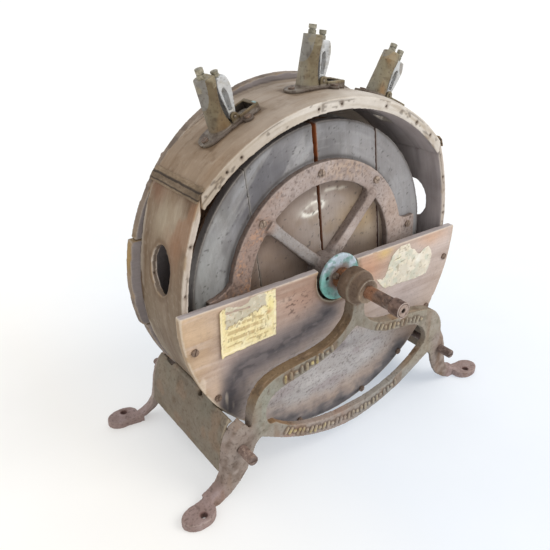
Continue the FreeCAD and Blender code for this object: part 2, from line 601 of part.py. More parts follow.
def build_tie_rods():
    nuts = []
    for name, side, head_y in ROD_SIDES:
        x = side * ROD_X
        rod = cylinder(ROD_R, -ARM_FRONT - 1.0, ROD_REAR, x, ROD_Z)
        rod = rod.fuse(cylinder(ROD_HEAD_R, head_y, -ARM_FRONT, x, ROD_Z))
        rod = rod.makeFillet(1.8, [e for e in rod.Edges if e.BoundBox.YMax < head_y + 0.1])
        slot = box(x - 8, x + 8, head_y - 5, head_y + 2.0, ROD_Z - 0.8, ROD_Z + 0.8)
        export(name + "_tie_rod", rod.cut(slot))
        y0, y1 = ARM_FRONT, ARM_FRONT + NUT_T
        corners = [polar(NUT_FLATS / math.sqrt(3), 60 * k, x, ROD_Z) for k in range(6)]
        nuts.append(polygon_prism(corners, y0, y1).cut(cylinder(ROD_R, y0 - 1, y1 + 1, x, ROD_Z)))
    export("tie_rod_nuts", *nuts)


# ---- knife holders ----
def raised(points):
    """Outline given by height above the crown, moved up to it."""
    return [(x, CROWN_Z + height) for x, height in points]


def lean_over(shape, lean):
    return turn(shape, lean, PIVOT_Z, PIVOT_X)


def holder_tube(lean):
    """Half tube, a little wider at its foot, with a concave cut edge facing the jaw."""
    tube = Part.makeCone(13.0, 10.5, TUBE_H + 4, Vector(TUBE_X, 0, CROWN_Z - 4))
    tube = tube.cut(Part.makeCone(9.8, 7.6, TUBE_H + 2, Vector(TUBE_X, 0, CROWN_Z - 5)))
    points = raised([(TUBE_X + 8.4, TUBE_H - 5), (TUBE_X + 2.4, 25), (TUBE_X + 8.2, 2.0),
                     (TUBE_X + 30, 2.0), (TUBE_X + 30, TUBE_H + 2), (TUBE_X + 7.4, TUBE_H + 2)])
    edges = [Part.Arc(*[Vector(x, -20, z) for x, z in points[:3]]).toShape()]
    edges += [line(a, b, -20) for a, b in zip(points[2:], points[3:] + points[:1])]
    tube = tube.cut(edge_prism(edges, 40))
    tube = tube.cut(cylinder_z(STEM_R, 6, CAP_POST_X, 0, CROWN_Z + TUBE_H - 4))
    return lean_over(tube, lean)


def holder_body(lean):
    def clear_of_arch(shape):
        return shape.cut(cylinder(ARCH_R + 0.02, -31, 31, 0, ARCH_CZ))
    base = CROWN_Z - 30
    seat = clear_of_arch(cylinder(SEAT_R, -30, 30, 0, ARCH_CZ))
    outline = box(-23, 23, -SEAT_HALF, SEAT_HALF, base, CROWN_Z + 20)
    for radius, x, y in ((SEAT_HALF, -23, 0), (SEAT_HALF, 23, 0), (6, 14, -16.9), (6, 14, 16.9)):
        outline = outline.fuse(cylinder_z(radius, 50, x, y, base))
    body = seat.common(outline)
    # raised rim round the knife mouth
    rim = box(MOUTH_X0 - 2.5, MOUTH_X1 + 4.5, -MOUTH_HALF - 3.0, MOUTH_HALF + 3.0,
              CROWN_Z - 2.0, CROWN_Z + 7.0)
    body = body.fuse(clear_of_arch(rim))
    body = body.fuse(clear_of_arch(holder_tube(lean)))
    # two ears for the jaw's pivot pin
    for y in (-10.6, 7.6):
        ear = box(PIVOT_X - 4.5, PIVOT_X + 4.5, y, y + 3.0, CROWN_Z + 2.5, PIVOT_Z)
        body = body.fuse(ear.fuse(cylinder(4.5, y, y + 3.0, PIVOT_X, PIVOT_Z)))
    body = body.cut(cylinder(PIN_R, -30, 30, PIVOT_X, PIVOT_Z))
    body = body.cut(box(MOUTH_X0, MOUTH_X1, -MOUTH_HALF, MOUTH_HALF, CROWN_Z - 10, CROWN_Z + 20))
    # room for the jaw's foot
    return body.cut(box(PIVOT_X - 5.6, PIVOT_X + 6.1, -7.5, 7.5, CROWN_Z + 3.4, CROWN_Z + 12.5))


def holder_jaw(lean):
    outer = raised([(PIVOT_X + 4.0, 5.6), (11.0, 20), (13.0, 34), (12.4, 42), (9.6, JAW_TOP)])
    inner = raised([(0.3, JAW_TOP), (-2.0, 37), (-0.4, 22), (PIVOT_X - 4.2, 6.6)])
    jaw = spline_prism(-JAW_HALF, 2 * JAW_HALF, outer, inner)
    jaw = jaw.fuse(cylinder(4.0, -JAW_HALF, JAW_HALF, PIVOT_X, PIVOT_Z))
    # open slot up the middle of the jaw
    slot = raised([(2.0, 14), (6.5, 14), (7.0, 30), (4.8, 38), (1.2, 35)])
    jaw = jaw.cut(polygon_prism(slot, -8, 8))
    jaw = jaw.cut(cylinder(PIN_R + 0.05, -8, 8, PIVOT_X, PIVOT_Z))
    jaw = jaw.cut(cylinder_z(STEM_R, 6, JAW_POST_X, 0, CROWN_Z + JAW_TOP - 4.5))
    return lean_over(jaw, lean)


def post(x, height, radius, length, lean):
    """Slotted, grooved post standing at a height above the crown, with a stem below."""
    foot = CROWN_Z + height
    body = cylinder_z(radius, length, x, 0, foot).fuse(cylinder_z(STEM_R, 4.0, x, 0, foot - 4.0))
    body = body.cut(box(x - 6, x + 6, -0.5, 0.5, foot + length - 1.5, foot + length + 1))
    groove_z = foot + length * 0.42
    groove = cylinder_z(radius + 1, 1.4, x, 0, groove_z)
    groove = groove.cut(cylinder_z(radius - 0.8, 1.4, x, 0, groove_z))
    return lean_over(body.cut(groove).removeSplitter(), lean)


def holder_screw(x, y):
    """Screw square to the arch through the holder's seat, and its hole."""
    angle = math.degrees(math.asin(x / ARCH_R))
    face = ARCH_CZ + SEAT_R
    screw = cylinder_z(3.6, 1.8, 0, y, face).fuse(cylinder_z(SCREW_R, 14.0, 0, y, face - 14.0))
    screw = screw.cut(box(-5, 5, y - 0.45, y + 0.45, face + 0.9, face + 3))
    hole = cylinder_z(HOLE_R, 16.0, 0, y, face - 14.3)
    return turn(screw, angle, ARCH_CZ).removeSplitter(), turn(hole, angle, ARCH_CZ)


def build_holders(arch):
    """Export the three knife holders and the arch drilled for their screws."""
    screws, holes = zip(*[holder_screw(x, y) for x, y in HOLDER_SCREWS])
    pin = cylinder(PIN_R, -11.2, 11.2, PIVOT_X, PIVOT_Z)
    for name, angle, lean, jaw_post_len in HOLDERS:
        def swing(shape):
            return turn(shape.copy(), angle, ARCH_CZ)
        body = drill(holder_body(lean), holes).removeSplitter()
        cap_post = post(CAP_POST_X, TUBE_H, 4.2, CAP_POST_LEN, lean)
        jaw_post = post(JAW_POST_X, JAW_TOP, 3.9, jaw_post_len, lean)
        export(name + "_holder_body", swing(body))
        export(name + "_holder_jaw", swing(holder_jaw(lean)))
        export(name + "_holder_pin", swing(pin))
        export(name + "_cap_post", swing(cap_post))
        export(name + "_jaw_post", swing(jaw_post))
        export(name + "_holder_screws", *[swing(screw) for screw in screws])
        arch = drill(arch, [swing(hole) for hole in holes])
    export("top_arch", arch.removeSplitter())


drum_arch = build_drum()
build_shaft()
build_discs()
build_brass_flange()
build_collars()
export_front_rear("frame", front_frame())
export_right_left("saddle", right_saddle())
export_right_left("saddle_screws", *[saddle_screw(angle, y) for angle, y in SADDLE_SPOTS])
build_tie_rods()
build_holders(drum_arch)
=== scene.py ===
"""An old wooden drum on two cast-iron frames, with three knife holders on its arched top.

The shaft lies along Y, 211.4 mm above the floor. The front is at -Y, left at -X, Z is up.
Meshes, noise and textures are in metres; sizes and paint places are in millimetres.
"""
import bpy
import bmesh
import json
import math
import numpy as np
from mathutils import Vector, Matrix


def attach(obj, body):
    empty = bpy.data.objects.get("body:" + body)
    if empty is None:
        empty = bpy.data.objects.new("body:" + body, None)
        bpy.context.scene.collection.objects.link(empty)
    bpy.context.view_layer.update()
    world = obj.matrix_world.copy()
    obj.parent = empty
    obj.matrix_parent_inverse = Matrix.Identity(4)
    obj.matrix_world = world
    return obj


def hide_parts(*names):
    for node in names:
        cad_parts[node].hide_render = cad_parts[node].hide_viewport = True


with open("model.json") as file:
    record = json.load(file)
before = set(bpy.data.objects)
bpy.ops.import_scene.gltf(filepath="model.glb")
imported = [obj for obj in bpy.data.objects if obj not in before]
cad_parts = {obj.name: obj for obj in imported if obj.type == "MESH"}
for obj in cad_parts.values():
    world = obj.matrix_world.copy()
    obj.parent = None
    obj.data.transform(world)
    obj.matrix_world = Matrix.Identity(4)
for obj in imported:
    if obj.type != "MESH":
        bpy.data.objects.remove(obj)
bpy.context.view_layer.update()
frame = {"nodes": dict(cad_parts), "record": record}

NODES = frame["nodes"]
BODY_OF = {node: body for body, nodes in frame["record"]["behaviour"]["bodies"].items()
           for node in nodes}

MM = 0.001
FRONT = np.array((0, -1, 0))
UP = np.array((0, 0, 1))

# Drum sizes in mm
SHAFT_Z = 211.4
ARCH_Z, ARCH_R, ARCH_T = 172.0, 245.0, 16.6   # arch: centre height, outer radius, thickness
ARCH_NAIL_R = 234.9
SIDE_X, SIDE_R = 102.6, 303.6   # upper side arcs: centre past the middle, radius
DRUM_R, PANEL_T = 201.0, 8.0    # lower half radius, side panel thickness
SIDE_NAIL_INSET = 4.0
BOARD_Z, BOARD_R = 220, 209     # rim of the front half board
HOLDERS = (("left", -26.0), ("middle", 0.8), ("right", 25.5))   # degrees round the arch


# ---------------------------------------------------------------- noise and masks
def _hash(i, j, k, seed):
    h = (i * 374761393 + j * 668265263 + k * 362437 + seed * 974634777) & 0xFFFFFFFF
    h = ((h ^ (h >> 13)) * 1274126177) & 0xFFFFFFFF
    h = ((h ^ (h >> 16)) * 2246822519) & 0xFFFFFFFF
    return (h ^ (h >> 15)) & 0xFFFFFFFF


def value_noise(points, seed):
    """Smooth lattice noise from -1 to 1."""
    cell = np.floor(points).astype(np.int64)
    f = points - cell
    blend = f * f * f * (f * (f * 6 - 15) + 10)
    total = np.zeros(len(points))
    for i in (0, 1):
        weight_x = blend[:, 0] if i else 1 - blend[:, 0]
        for j in (0, 1):
            weight_y = blend[:, 1] if j else 1 - blend[:, 1]
            for k in (0, 1):
                weight_z = blend[:, 2] if k else 1 - blend[:, 2]
                corner = _hash(cell[:, 0] + i, cell[:, 1] + j, cell[:, 2] + k, seed)
                total += weight_x * weight_y * weight_z * (corner / 4294967295.0)
    return total * 2 - 1


def fbm(points, seed, octaves=3):
    """Octaves of value noise, each about twice as fine and half as strong."""
    size, sizes, total = 1.0, 0.0, 0.0
    for i in range(octaves):
        total = total + size * value_noise(points * (2.03 ** i) + 17.3 * i, seed + i)
        sizes += size
        size *= 0.5
    return total / sizes


def ease(value, low, high):
    """Smooth step: 0 at low, 1 at high."""
    t = np.clip((value - low) / (high - low), 0, 1)
    return t * t * (3 - 2 * t)


def fields(coords):
    """noise() over these coordinates, and patch(), the same eased between two levels."""
    def noise(frequency, seed, octaves=3):
        return fbm(coords * frequency, seed, octaves)

    def patch(frequency, seed, low, high, octaves=3):
        return ease(noise(frequency, seed, octaves), low, high)
    return noise, patch


def blob(x, z, centre_x, centre_z, radius_x, radius_z):
    return np.exp(-(((x - centre_x) / radius_x) ** 2 + ((z - centre_z) / radius_z) ** 2))


def bell(offset, width):
    return np.exp(-(offset / width) ** 2)


def path_distance(x, z, points):
    best = np.full(len(x), 1e9)
    for (x0, z0), (x1, z1) in zip(points[:-1], points[1:]):
        run, rise = x1 - x0, z1 - z0
        t = np.clip(((x - x0) * run + (z - z0) * rise) / (run * run + rise * rise), 0, 1)
        best = np.minimum(best, np.hypot(x - x0 - t * run, z - z0 - t * rise))
    return best


def polar(centre_x, centre_z, radius, degrees):
    angle = math.radians(degrees)
    return centre_x + radius * math.cos(angle), centre_z + radius * math.sin(angle)


# ---------------------------------------------------------------- colour
def srgb(*rgb):
    """Linear colour from 0-255 sRGB."""
    c = np.array(rgb, float) / 255.0
    return np.where(c <= 0.04045, c / 12.92, ((c + 0.055) / 1.055) ** 2.4)


def mix(first, second, amount):
    amount = amount[:, None]
    return first * (1 - amount) + second * amount


TINT = "tint"


def lay(coat, *layers):
    """Paint layers in order: (sRGB colour, cover), or (factors, cover, TINT) to multiply."""
    for colour, cover, *tint in layers:
        cover = np.clip(cover, 0, 1)[:, None]
        if tint:
            coat = coat * (1 + (np.array(colour, float) - 1) * cover)
        else:
            coat = coat + (srgb(*colour) - coat) * cover
    return coat


# ---------------------------------------------------------------- meshes
def mesh_from(verts, faces, name="part"):
    mesh = bpy.data.meshes.new(name)
    mesh.from_pydata([tuple(v) for v in verts], [], faces)
    mesh.validate()
    return mesh


def prism(outline, y0, y1):
    """Closed prism of an XZ polygon between two Y planes, as (verts, faces)."""
    n = len(outline)
    verts = [(x, y0, z) for x, z in outline] + [(x, y1, z) for x, z in outline]
    faces = [list(range(n))[::-1], list(range(n, 2 * n))]
    faces += [[i, (i + 1) % n, n + (i + 1) % n, n + i] for i in range(n)]
    return verts, faces


def remeshed(node, voxel, extra):
    """A new mesh: the CAD solid and extra closed shapes, voxel-remeshed together."""
    bm = bmesh.new()
    bm.from_mesh(NODES[node].data)
    for verts, faces in extra:
        shape = mesh_from(verts, faces)
        bm.from_mesh(shape)
        bpy.data.meshes.remove(shape)
    bmesh.ops.remove_doubles(bm, verts=bm.verts, dist=1e-6)
    bmesh.ops.recalc_face_normals(bm, faces=bm.faces)
    source = bpy.data.meshes.new("src")
    bm.to_mesh(source)
    bm.free()
    ob = bpy.data.objects.new("src", source)
    bpy.context.scene.collection.objects.link(ob)
    modifier = ob.modifiers.new("r", "REMESH")
    modifier.mode = "VOXEL"
    modifier.voxel_size = voxel
    depsgraph = bpy.context.evaluated_depsgraph_get()
    depsgraph.update()
    result = bpy.data.meshes.new_from_object(ob.evaluated_get(depsgraph))
    bpy.data.objects.remove(ob)
    bpy.data.meshes.remove(source)
    return result


class Skin:
    """Vertex data of a mesh under work: pos in metres, and after form() nrm, wear, cav."""

    def __init__(self, mesh):
        self.mesh = mesh
        count = len(mesh.vertices)
        pos = np.empty(count * 3, np.float32)
        mesh.vertices.foreach_get("co", pos)
        self.pos = pos.reshape(-1, 3).astype(float)
        edges = np.empty(len(mesh.edges) * 2, np.int32)
        mesh.edges.foreach_get("vertices", edges)
        self.edges = edges.reshape(-1, 2)
        self.degree = np.maximum(np.bincount(edges, minlength=count), 1).astype(float)

    @property
    def mm(self):
        return (self.pos * 1000).T

    def smooth(self, points, passes, strength):
        a, b = self.edges.T
        n = len(points)
        for _ in range(passes):
            mean = np.column_stack([
                (np.bincount(a, column[b], n) + np.bincount(b, column[a], n)) / self.degree
                for column in points.T])
            points = points + strength * (mean - points)
        return points

    def push(self):
        self.mesh.vertices.foreach_set("co", self.pos.astype(np.float32).ravel())
        self.mesh.update()

    def form(self, far, scale):
        """Normals, wear (0..1 on outer corners) and cav (0..1 in hollows)."""
        self.push()
        normals = np.empty(len(self.pos) * 3, np.float32)
        self.mesh.vertex_normals.foreach_get("vector", normals)
        self.nrm = normals.reshape(-1, 3).astype(float)
        blurred = self.smooth(self.pos, 4, 0.6)
        fine = ((self.pos - blurred) * self.nrm).sum(1) / scale
        blurred = self.smooth(blurred, far, 0.6)
        coarse = ((self.pos - blurred) * self.nrm).sum(1) / (scale * 2.5)
        curve = fine * 0.6 + coarse * 0.4
        self.wear, self.cav = np.clip(curve, 0, 1), np.clip(-curve, 0, 1)

    def facing(self, direction, low=0.5, high=0.9):
        return ease((self.nrm * direction).sum(1), low, high)


def open_skin(node, voxel, passes=2, far=18, scale=0.0006, extra=()):
    skin = Skin(remeshed(node, voxel, extra))
    skin.pos = skin.smooth(skin.pos, passes, 0.5)
    skin.form(far, scale)
    return skin


def cast_skin(node, voxel, seed, passes=3, rough=1.0, extra=()):
    """Skin of a casting, with its surface shift in skin.move and its pits in skin.pit."""
    skin = open_skin(node, voxel, passes, 16, 0.0007, extra)
    noise, _ = fields(skin.pos)
    skin.pit = ease(value_noise(skin.pos * 520, seed + 2), 0.42, 0.75)
    skin.move = rough * (0.28e-3 * noise(85, seed) + 0.14e-3 * noise(360, seed + 1, 2)
                         - 0.35e-3 * skin.pit)
    return skin


def finish(name, skin, node, material, coat, rough, move=None, coords=None):
    """Shift the surface along its normals, store the paint maps and hand the piece over."""
    mesh = skin.mesh
    count = len(skin.pos)
    if move is not None:
        skin.pos = skin.pos + skin.nrm * move[:, None]
    skin.push()

    def store(layers, attribute, kind, field, values):
        layer = layers.new(attribute, kind, "POINT")
        layer.data.foreach_set(field, values.astype(np.float32).ravel())
    rgba = np.c_[np.clip(coat, 0.0, 1.0), np.ones(count)]
    store(mesh.color_attributes, "paint", "FLOAT_COLOR", "color", rgba)
    store(mesh.attributes, "gc", "FLOAT_VECTOR", "vector", skin.pos if coords is None else coords)
    store(mesh.attributes, "rgh", "FLOAT", "value", np.clip(np.full(count, rough), 0.05, 1))
    mesh.polygons.foreach_set("use_smooth", np.ones(len(mesh.polygons), bool))
    mesh.materials.clear()
    mesh.materials.append(material)
    mesh.name = name
    ob = bpy.data.objects.new(name, mesh)
    bpy.context.scene.collection.objects.link(ob)
    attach(ob, BODY_OF[node])
    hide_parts(node)


# ---------------------------------------------------------------- materials
class Tree:
    """A material with a Principled shader, and short ways to add nodes."""

    def __init__(self, name):
        self.mat = bpy.data.materials.new(name)
        self.mat.use_nodes = True
        self.nodes, self.links = self.mat.node_tree.nodes, self.mat.node_tree.links
        self.nodes.clear()
        output = self.node("ShaderNodeOutputMaterial")
        self.bsdf = self.node("ShaderNodeBsdfPrincipled")
        self.links.new(self.bsdf.outputs[0], output.inputs[0])

    def node(self, kind, **settings):
        node = self.nodes.new(kind)
        for key, value in settings.items():
            setattr(node, key, value)
        return node

    def feed(self, socket, value):
        if isinstance(value, bpy.types.NodeSocket):
            self.links.new(value, socket)
        else:
            socket.default_value = value

    def attribute(self, name, output):
        return self.node("ShaderNodeAttribute", attribute_name=name).outputs[output]

    def object_coords(self):
        return self.node("ShaderNodeTexCoord").outputs["Object"]

    def split(self, vector):
        node = self.node("ShaderNodeSeparateXYZ")
        self.feed(node.inputs[0], vector)
        return node.outputs

    def mapping(self, vector, scale, place=(0, 0, 0)):
        node = self.node("ShaderNodeMapping")
        self.feed(node.inputs[0], vector)
        node.inputs["Scale"].default_value = scale
        node.inputs["Location"].default_value = place
        return node.outputs[0]

    def noise(self, vector, scale=1.0, detail=4, rough=0.55, warp=0.0):
        node = self.node("ShaderNodeTexNoise")
        for key, value in (("Vector", vector), ("Scale", scale), ("Detail", detail),
                           ("Roughness", rough), ("Distortion", warp)):
            self.feed(node.inputs[key], value)
        return node.outputs["Fac"]

    def voronoi(self, vector, scale):
        node = self.node("ShaderNodeTexVoronoi", feature="F1")
        self.feed(node.inputs["Vector"], vector)
        node.inputs["Scale"].default_value = scale
        return node.outputs["Distance"]

    def ramp(self, factor, stops):
        """Colour ramp; stops are (position, linear colour)."""
        node = self.node("ShaderNodeValToRGB")
        self.feed(node.inputs[0], factor)
        elements = node.color_ramp.elements
        while len(elements) > 1:
            elements.remove(elements[-1])
        elements[0].position = stops[0][0]
        elements[0].color = (*stops[0][1], 1)
        for position, colour in stops[1:]:
            elements.new(position).color = (*colour, 1)
        return node.outputs[0]

    def mix(self, factor, first, second, mode="MIX"):
        node = self.node("ShaderNodeMix", data_type="RGBA", blend_type=mode)
        for i, value in ((0, factor), (6, first), (7, second)):
            self.feed(node.inputs[i], value + (1,) if isinstance(value, tuple) else value)
        return node.outputs[2]

    def tint(self, amount, colour, factors):
        """Multiply the colour by the factors, by an amount."""
        return self.mix(amount, colour, self.mix(1.0, colour, factors, "MULTIPLY"))

    def math(self, operation, first, second, clamp=False):
        node = self.node("ShaderNodeMath", operation=operation, use_clamp=clamp)
        self.feed(node.inputs[0], first)
        self.feed(node.inputs[1], second)
        return node.outputs[0]

    def add(self, first, second, clamp=False):
        return self.math("ADD", first, second, clamp)

    def times(self, first, second):
        return self.math("MULTIPLY", first, second)

    def remap(self, value, span, to=(0.0, 1.0)):
        node = self.node("ShaderNodeMapRange")
        for i, item in enumerate((value, *span, *to)):
            self.feed(node.inputs[i], item)
        return node.outputs[0]

    def bump(self, height, distance, strength):
        node = self.node("ShaderNodeBump")
        node.inputs["Strength"].default_value = strength
        node.inputs["Distance"].default_value = distance
        self.feed(node.inputs["Height"], height)
        return node.outputs[0]

    def set(self, **inputs):
        for key, value in inputs.items():
            self.feed(self.bsdf.inputs[key.replace("_", " ")], value)


def painted_wood(name, grain, spec, streak, bump):
    """Old wood: the piece's own stain map, long fibres along the grain, open pores, fine dirt."""
    t = Tree(name)
    coords = t.attribute("gc", "Vector")
    colour = t.attribute("paint", "Color")
    rough = t.attribute("rgh", "Fac")
    fibre = t.noise(t.mapping(coords, (14, 420, 420)), detail=5, rough=0.62, warp=0.4)
    hair = t.noise(t.mapping(coords, (45, 1500, 1500)), detail=3, rough=0.6)
    pore = t.noise(t.mapping(coords, (120, 1700, 1700), place=(3, 1, 2)), detail=2, rough=0.5)
    speck = t.noise(coords, scale=900, detail=3, rough=0.6)
    blot = t.noise(coords, scale=46, detail=5, rough=0.65, warp=0.3)
    colour = t.tint(t.times(t.remap(fibre, (0.35, 0.68)), streak), colour, (0.42, 0.36, 0.30))
    colour = t.tint(t.times(t.remap(hair, (0.52, 0.75)), 0.22 * grain), colour,
                    (1.40, 1.37, 1.32))
    colour = t.tint(t.times(t.remap(pore, (0.62, 0.76)), 0.34 * grain), colour,
                    (0.45, 0.40, 0.36))
    colour = t.tint(t.remap(blot, (0.38, 0.66), to=(0, 0.30)), colour, (0.66, 0.61, 0.56))
    colour = t.tint(t.remap(speck, (0.55, 0.80), to=(0, 0.35)), colour, (1.35, 1.33, 1.30))
    height = t.add(t.times(fibre, 0.7), t.times(pore, -0.35))
    height = t.add(height, t.times(speck, 0.18))
    t.set(Base_Color=colour,
          Roughness=t.add(rough, t.remap(fibre, (0.3, 0.7), to=(-0.10, 0.10)), clamp=True),
          Specular_IOR_Level=spec,
          Normal=t.bump(height, distance=0.0006 * bump, strength=0.6))
    return t.mat


def painted_iron(name, metal, pit, spec, fleck=(1.42, 1.36, 1.26)):
    """Old iron: the piece's colour map, rust bloom, pits and rubbed high spots."""
    t = Tree(name)
    coords = t.attribute("gc", "Vector")
    colour = t.attribute("paint", "Color")
    rough = t.attribute("rgh", "Fac")
    bloom = t.noise(coords, scale=130, detail=5, rough=0.65, warp=0.3)
    rubbed = t.noise(coords, scale=520, detail=4, rough=0.65)
    cells = t.voronoi(coords, scale=620)
    fine = t.noise(coords, scale=1500, detail=2, rough=0.6)
    colour = t.tint(t.remap(bloom, (0.42, 0.68), to=(0, 0.40)), colour, (0.60, 0.50, 0.42))
    colour = t.tint(t.remap(rubbed, (0.54, 0.74), to=(0, 0.45)), colour, fleck)
    colour = t.tint(t.remap(cells, (0.0, 0.35), to=(0.45 * pit, 0)), colour, (0.40, 0.33, 0.28))
    height = t.add(t.times(t.remap(cells, (0.0, 0.5)), 0.55 * pit), t.times(rubbed, 0.6))
    height = t.add(height, t.times(fine, 0.25))
    t.set(Base_Color=colour, Metallic=metal,
          Roughness=t.add(rough, t.remap(rubbed, (0.35, 0.7), to=(0.10, -0.12)), clamp=True),
          Specular_IOR_Level=spec,
          Normal=t.bump(height, distance=0.0006, strength=0.55))
    return t.mat


def paper_material():
    t = Tree("torn_paper")
    coords = t.attribute("gc", "Vector")
    colour = t.attribute("paint", "Color")
    stain = t.noise(coords, scale=140, detail=5, rough=0.65, warp=0.4)
    speck = t.noise(coords, scale=900, detail=3, rough=0.6)
    fibre = t.noise(t.mapping(coords, (300, 300, 1100)), detail=2, rough=0.5)
    colour = t.tint(t.remap(stain, (0.42, 0.66), to=(0, 0.5)), colour, (0.80, 0.74, 0.62))
    colour = t.tint(t.remap(speck, (0.55, 0.75), to=(0, 0.5)), colour, (1.25, 1.22, 1.15))
    height = t.add(t.times(stain, 0.6), t.times(fibre, 0.25))
    t.set(Base_Color=colour, Roughness=t.remap(speck, (0.3, 0.7), to=(0.92, 0.78)),
          Specular_IOR_Level=0.15, Normal=t.bump(height, distance=0.0006, strength=0.6))
    return t.mat


def three_tones(tree, factor, positions, tones):
    return tree.ramp(factor, [(at, srgb(*tone)) for at, tone in zip(positions, tones)])


def cad_metal(name, tones, metal, rough, scale):
    """Small hardware: three mixed tones, grime and fine pitting, from object coordinates."""
    t = Tree(name)
    coords = t.object_coords()
    grime = t.noise(coords, scale=scale, detail=5, rough=0.65, warp=0.3)
    pitting = t.noise(coords, scale=scale * 6, detail=3, rough=0.6)
    colour = three_tones(t, grime, (0.30, 0.52, 0.72), tones)
    colour = t.tint(t.remap(pitting, (0.50, 0.75), to=(0, 0.5)), colour, (1.5, 1.42, 1.3))
    point = t.node("ShaderNodeNewGeometry").outputs["Pointiness"]
    colour = t.tint(t.remap(point, (0.50, 0.60), to=(0, 0.6)), colour, (1.8, 1.7, 1.55))
    t.set(Base_Color=colour, Metallic=metal,
          Roughness=t.remap(pitting, (0.3, 0.7), to=(rough + 0.12, rough - 0.12)),
          Specular_IOR_Level=0.45,
          Normal=t.bump(t.add(t.times(grime, 0.5), pitting), distance=0.0004, strength=0.5))
    return t.mat


def coord_wood(name, tones, scale):
    """Plain wood from object coordinates; the finer fibres run at nine times the scale."""
    t = Tree(name)
    coords = t.object_coords()
    figure = t.noise(t.mapping(coords, scale), detail=5, rough=0.65, warp=0.6)
    speck = t.noise(coords, scale=260, detail=4, rough=0.6)
    fibre = t.noise(t.mapping(coords, tuple(9.0 * s for s in scale)),
                    detail=3, rough=0.6, warp=0.3)
    colour = three_tones(t, figure, (0.32, 0.52, 0.70), tones)
    colour = t.tint(t.remap(fibre, (0.48, 0.70), to=(0, 0.6)), colour, (0.55, 0.50, 0.46))
    colour = t.tint(t.remap(speck, (0.55, 0.75), to=(0, 0.4)), colour, (1.35, 1.3, 1.22))
    t.set(Base_Color=colour, Roughness=t.remap(speck, (0.3, 0.7), to=(0.7 + 0.1, 0.7 - 0.1)),
          Specular_IOR_Level=0.25,
          Normal=t.bump(t.add(fibre, t.times(speck, 0.4)), distance=0.0006, strength=0.6))
    return t


# Position from the bottom to the top of the joint strip, and what its colour is multiplied by
STRIP_SHADE = [
    (0.0, (1.15, 1.15, 1.12)), (0.22, (1.15, 1.15, 1.12)), (0.27, (0.30, 0.28, 0.27)),
    (0.33, (0.35, 0.32, 0.30)), (0.38, (1, 1, 1)), (0.68, (0.95, 0.95, 0.95)),
    (0.73, (0.26, 0.24, 0.23)), (0.80, (0.30, 0.28, 0.27)), (0.86, (1.30, 1.30, 1.28)),
    (1.0, (1.30, 1.30, 1.28))]
STRIP_SPAN = (0.3350, 0.3490)    # metres up Z
STRIP_WOBBLE = 0.0012


def strip_material():
    """Joint strip wood with shadowed lines along both edges."""
    t = coord_wood("joint_strip", ((96, 80, 62), (118, 100, 80), (140, 124, 104)), (60, 24, 60))
    plain = t.bsdf.inputs["Base Color"].links[0].from_socket
    coords = t.object_coords()
    height = t.split(coords)[2]
    wobble = t.noise(coords, scale=90, detail=2, rough=0.5)
    wavy = t.node("ShaderNodeMath", operation="MULTIPLY_ADD")
    for i, value in enumerate((wobble, STRIP_WOBBLE, height)):
        t.feed(wavy.inputs[i], value)
    shade = t.ramp(t.remap(wavy.outputs[0], STRIP_SPAN), STRIP_SHADE)
    t.set(Base_Color=t.mix(1.0, plain, shade, "MULTIPLY"))
    return t.mat


WOOD = painted_wood("old_wood", grain=0.8, spec=0.25, streak=0.15, bump=1.0)
WOOD_RAW = painted_wood("weathered_edge_wood", grain=0.6, spec=0.18, streak=0.10, bump=0.9)
WOOD_GREY = painted_wood("grey_disc_wood", grain=0.5, spec=0.28, streak=0.12, bump=0.8)
IRON = painted_iron("old_iron", metal=0.15, pit=0.8, spec=0.4)
IRON_ROUGH = painted_iron("rusty_casting", metal=0.10, pit=0.8, spec=0.35,
                          fleck=(1.22, 1.18, 1.12))
BRONZE = painted_iron("holder_bronze", metal=0.20, pit=0.35, spec=0.45,
                      fleck=(1.16, 1.14, 1.10))
VERDIGRIS = painted_iron("verdigris_brass", metal=0.10, pit=0.8, spec=0.35,
                         fleck=(1.25, 1.35, 1.35))
STEEL = painted_iron("rusty_steel", metal=0.25, pit=1.0, spec=0.45, fleck=(1.45, 1.3, 1.15))
PAPER = paper_material()


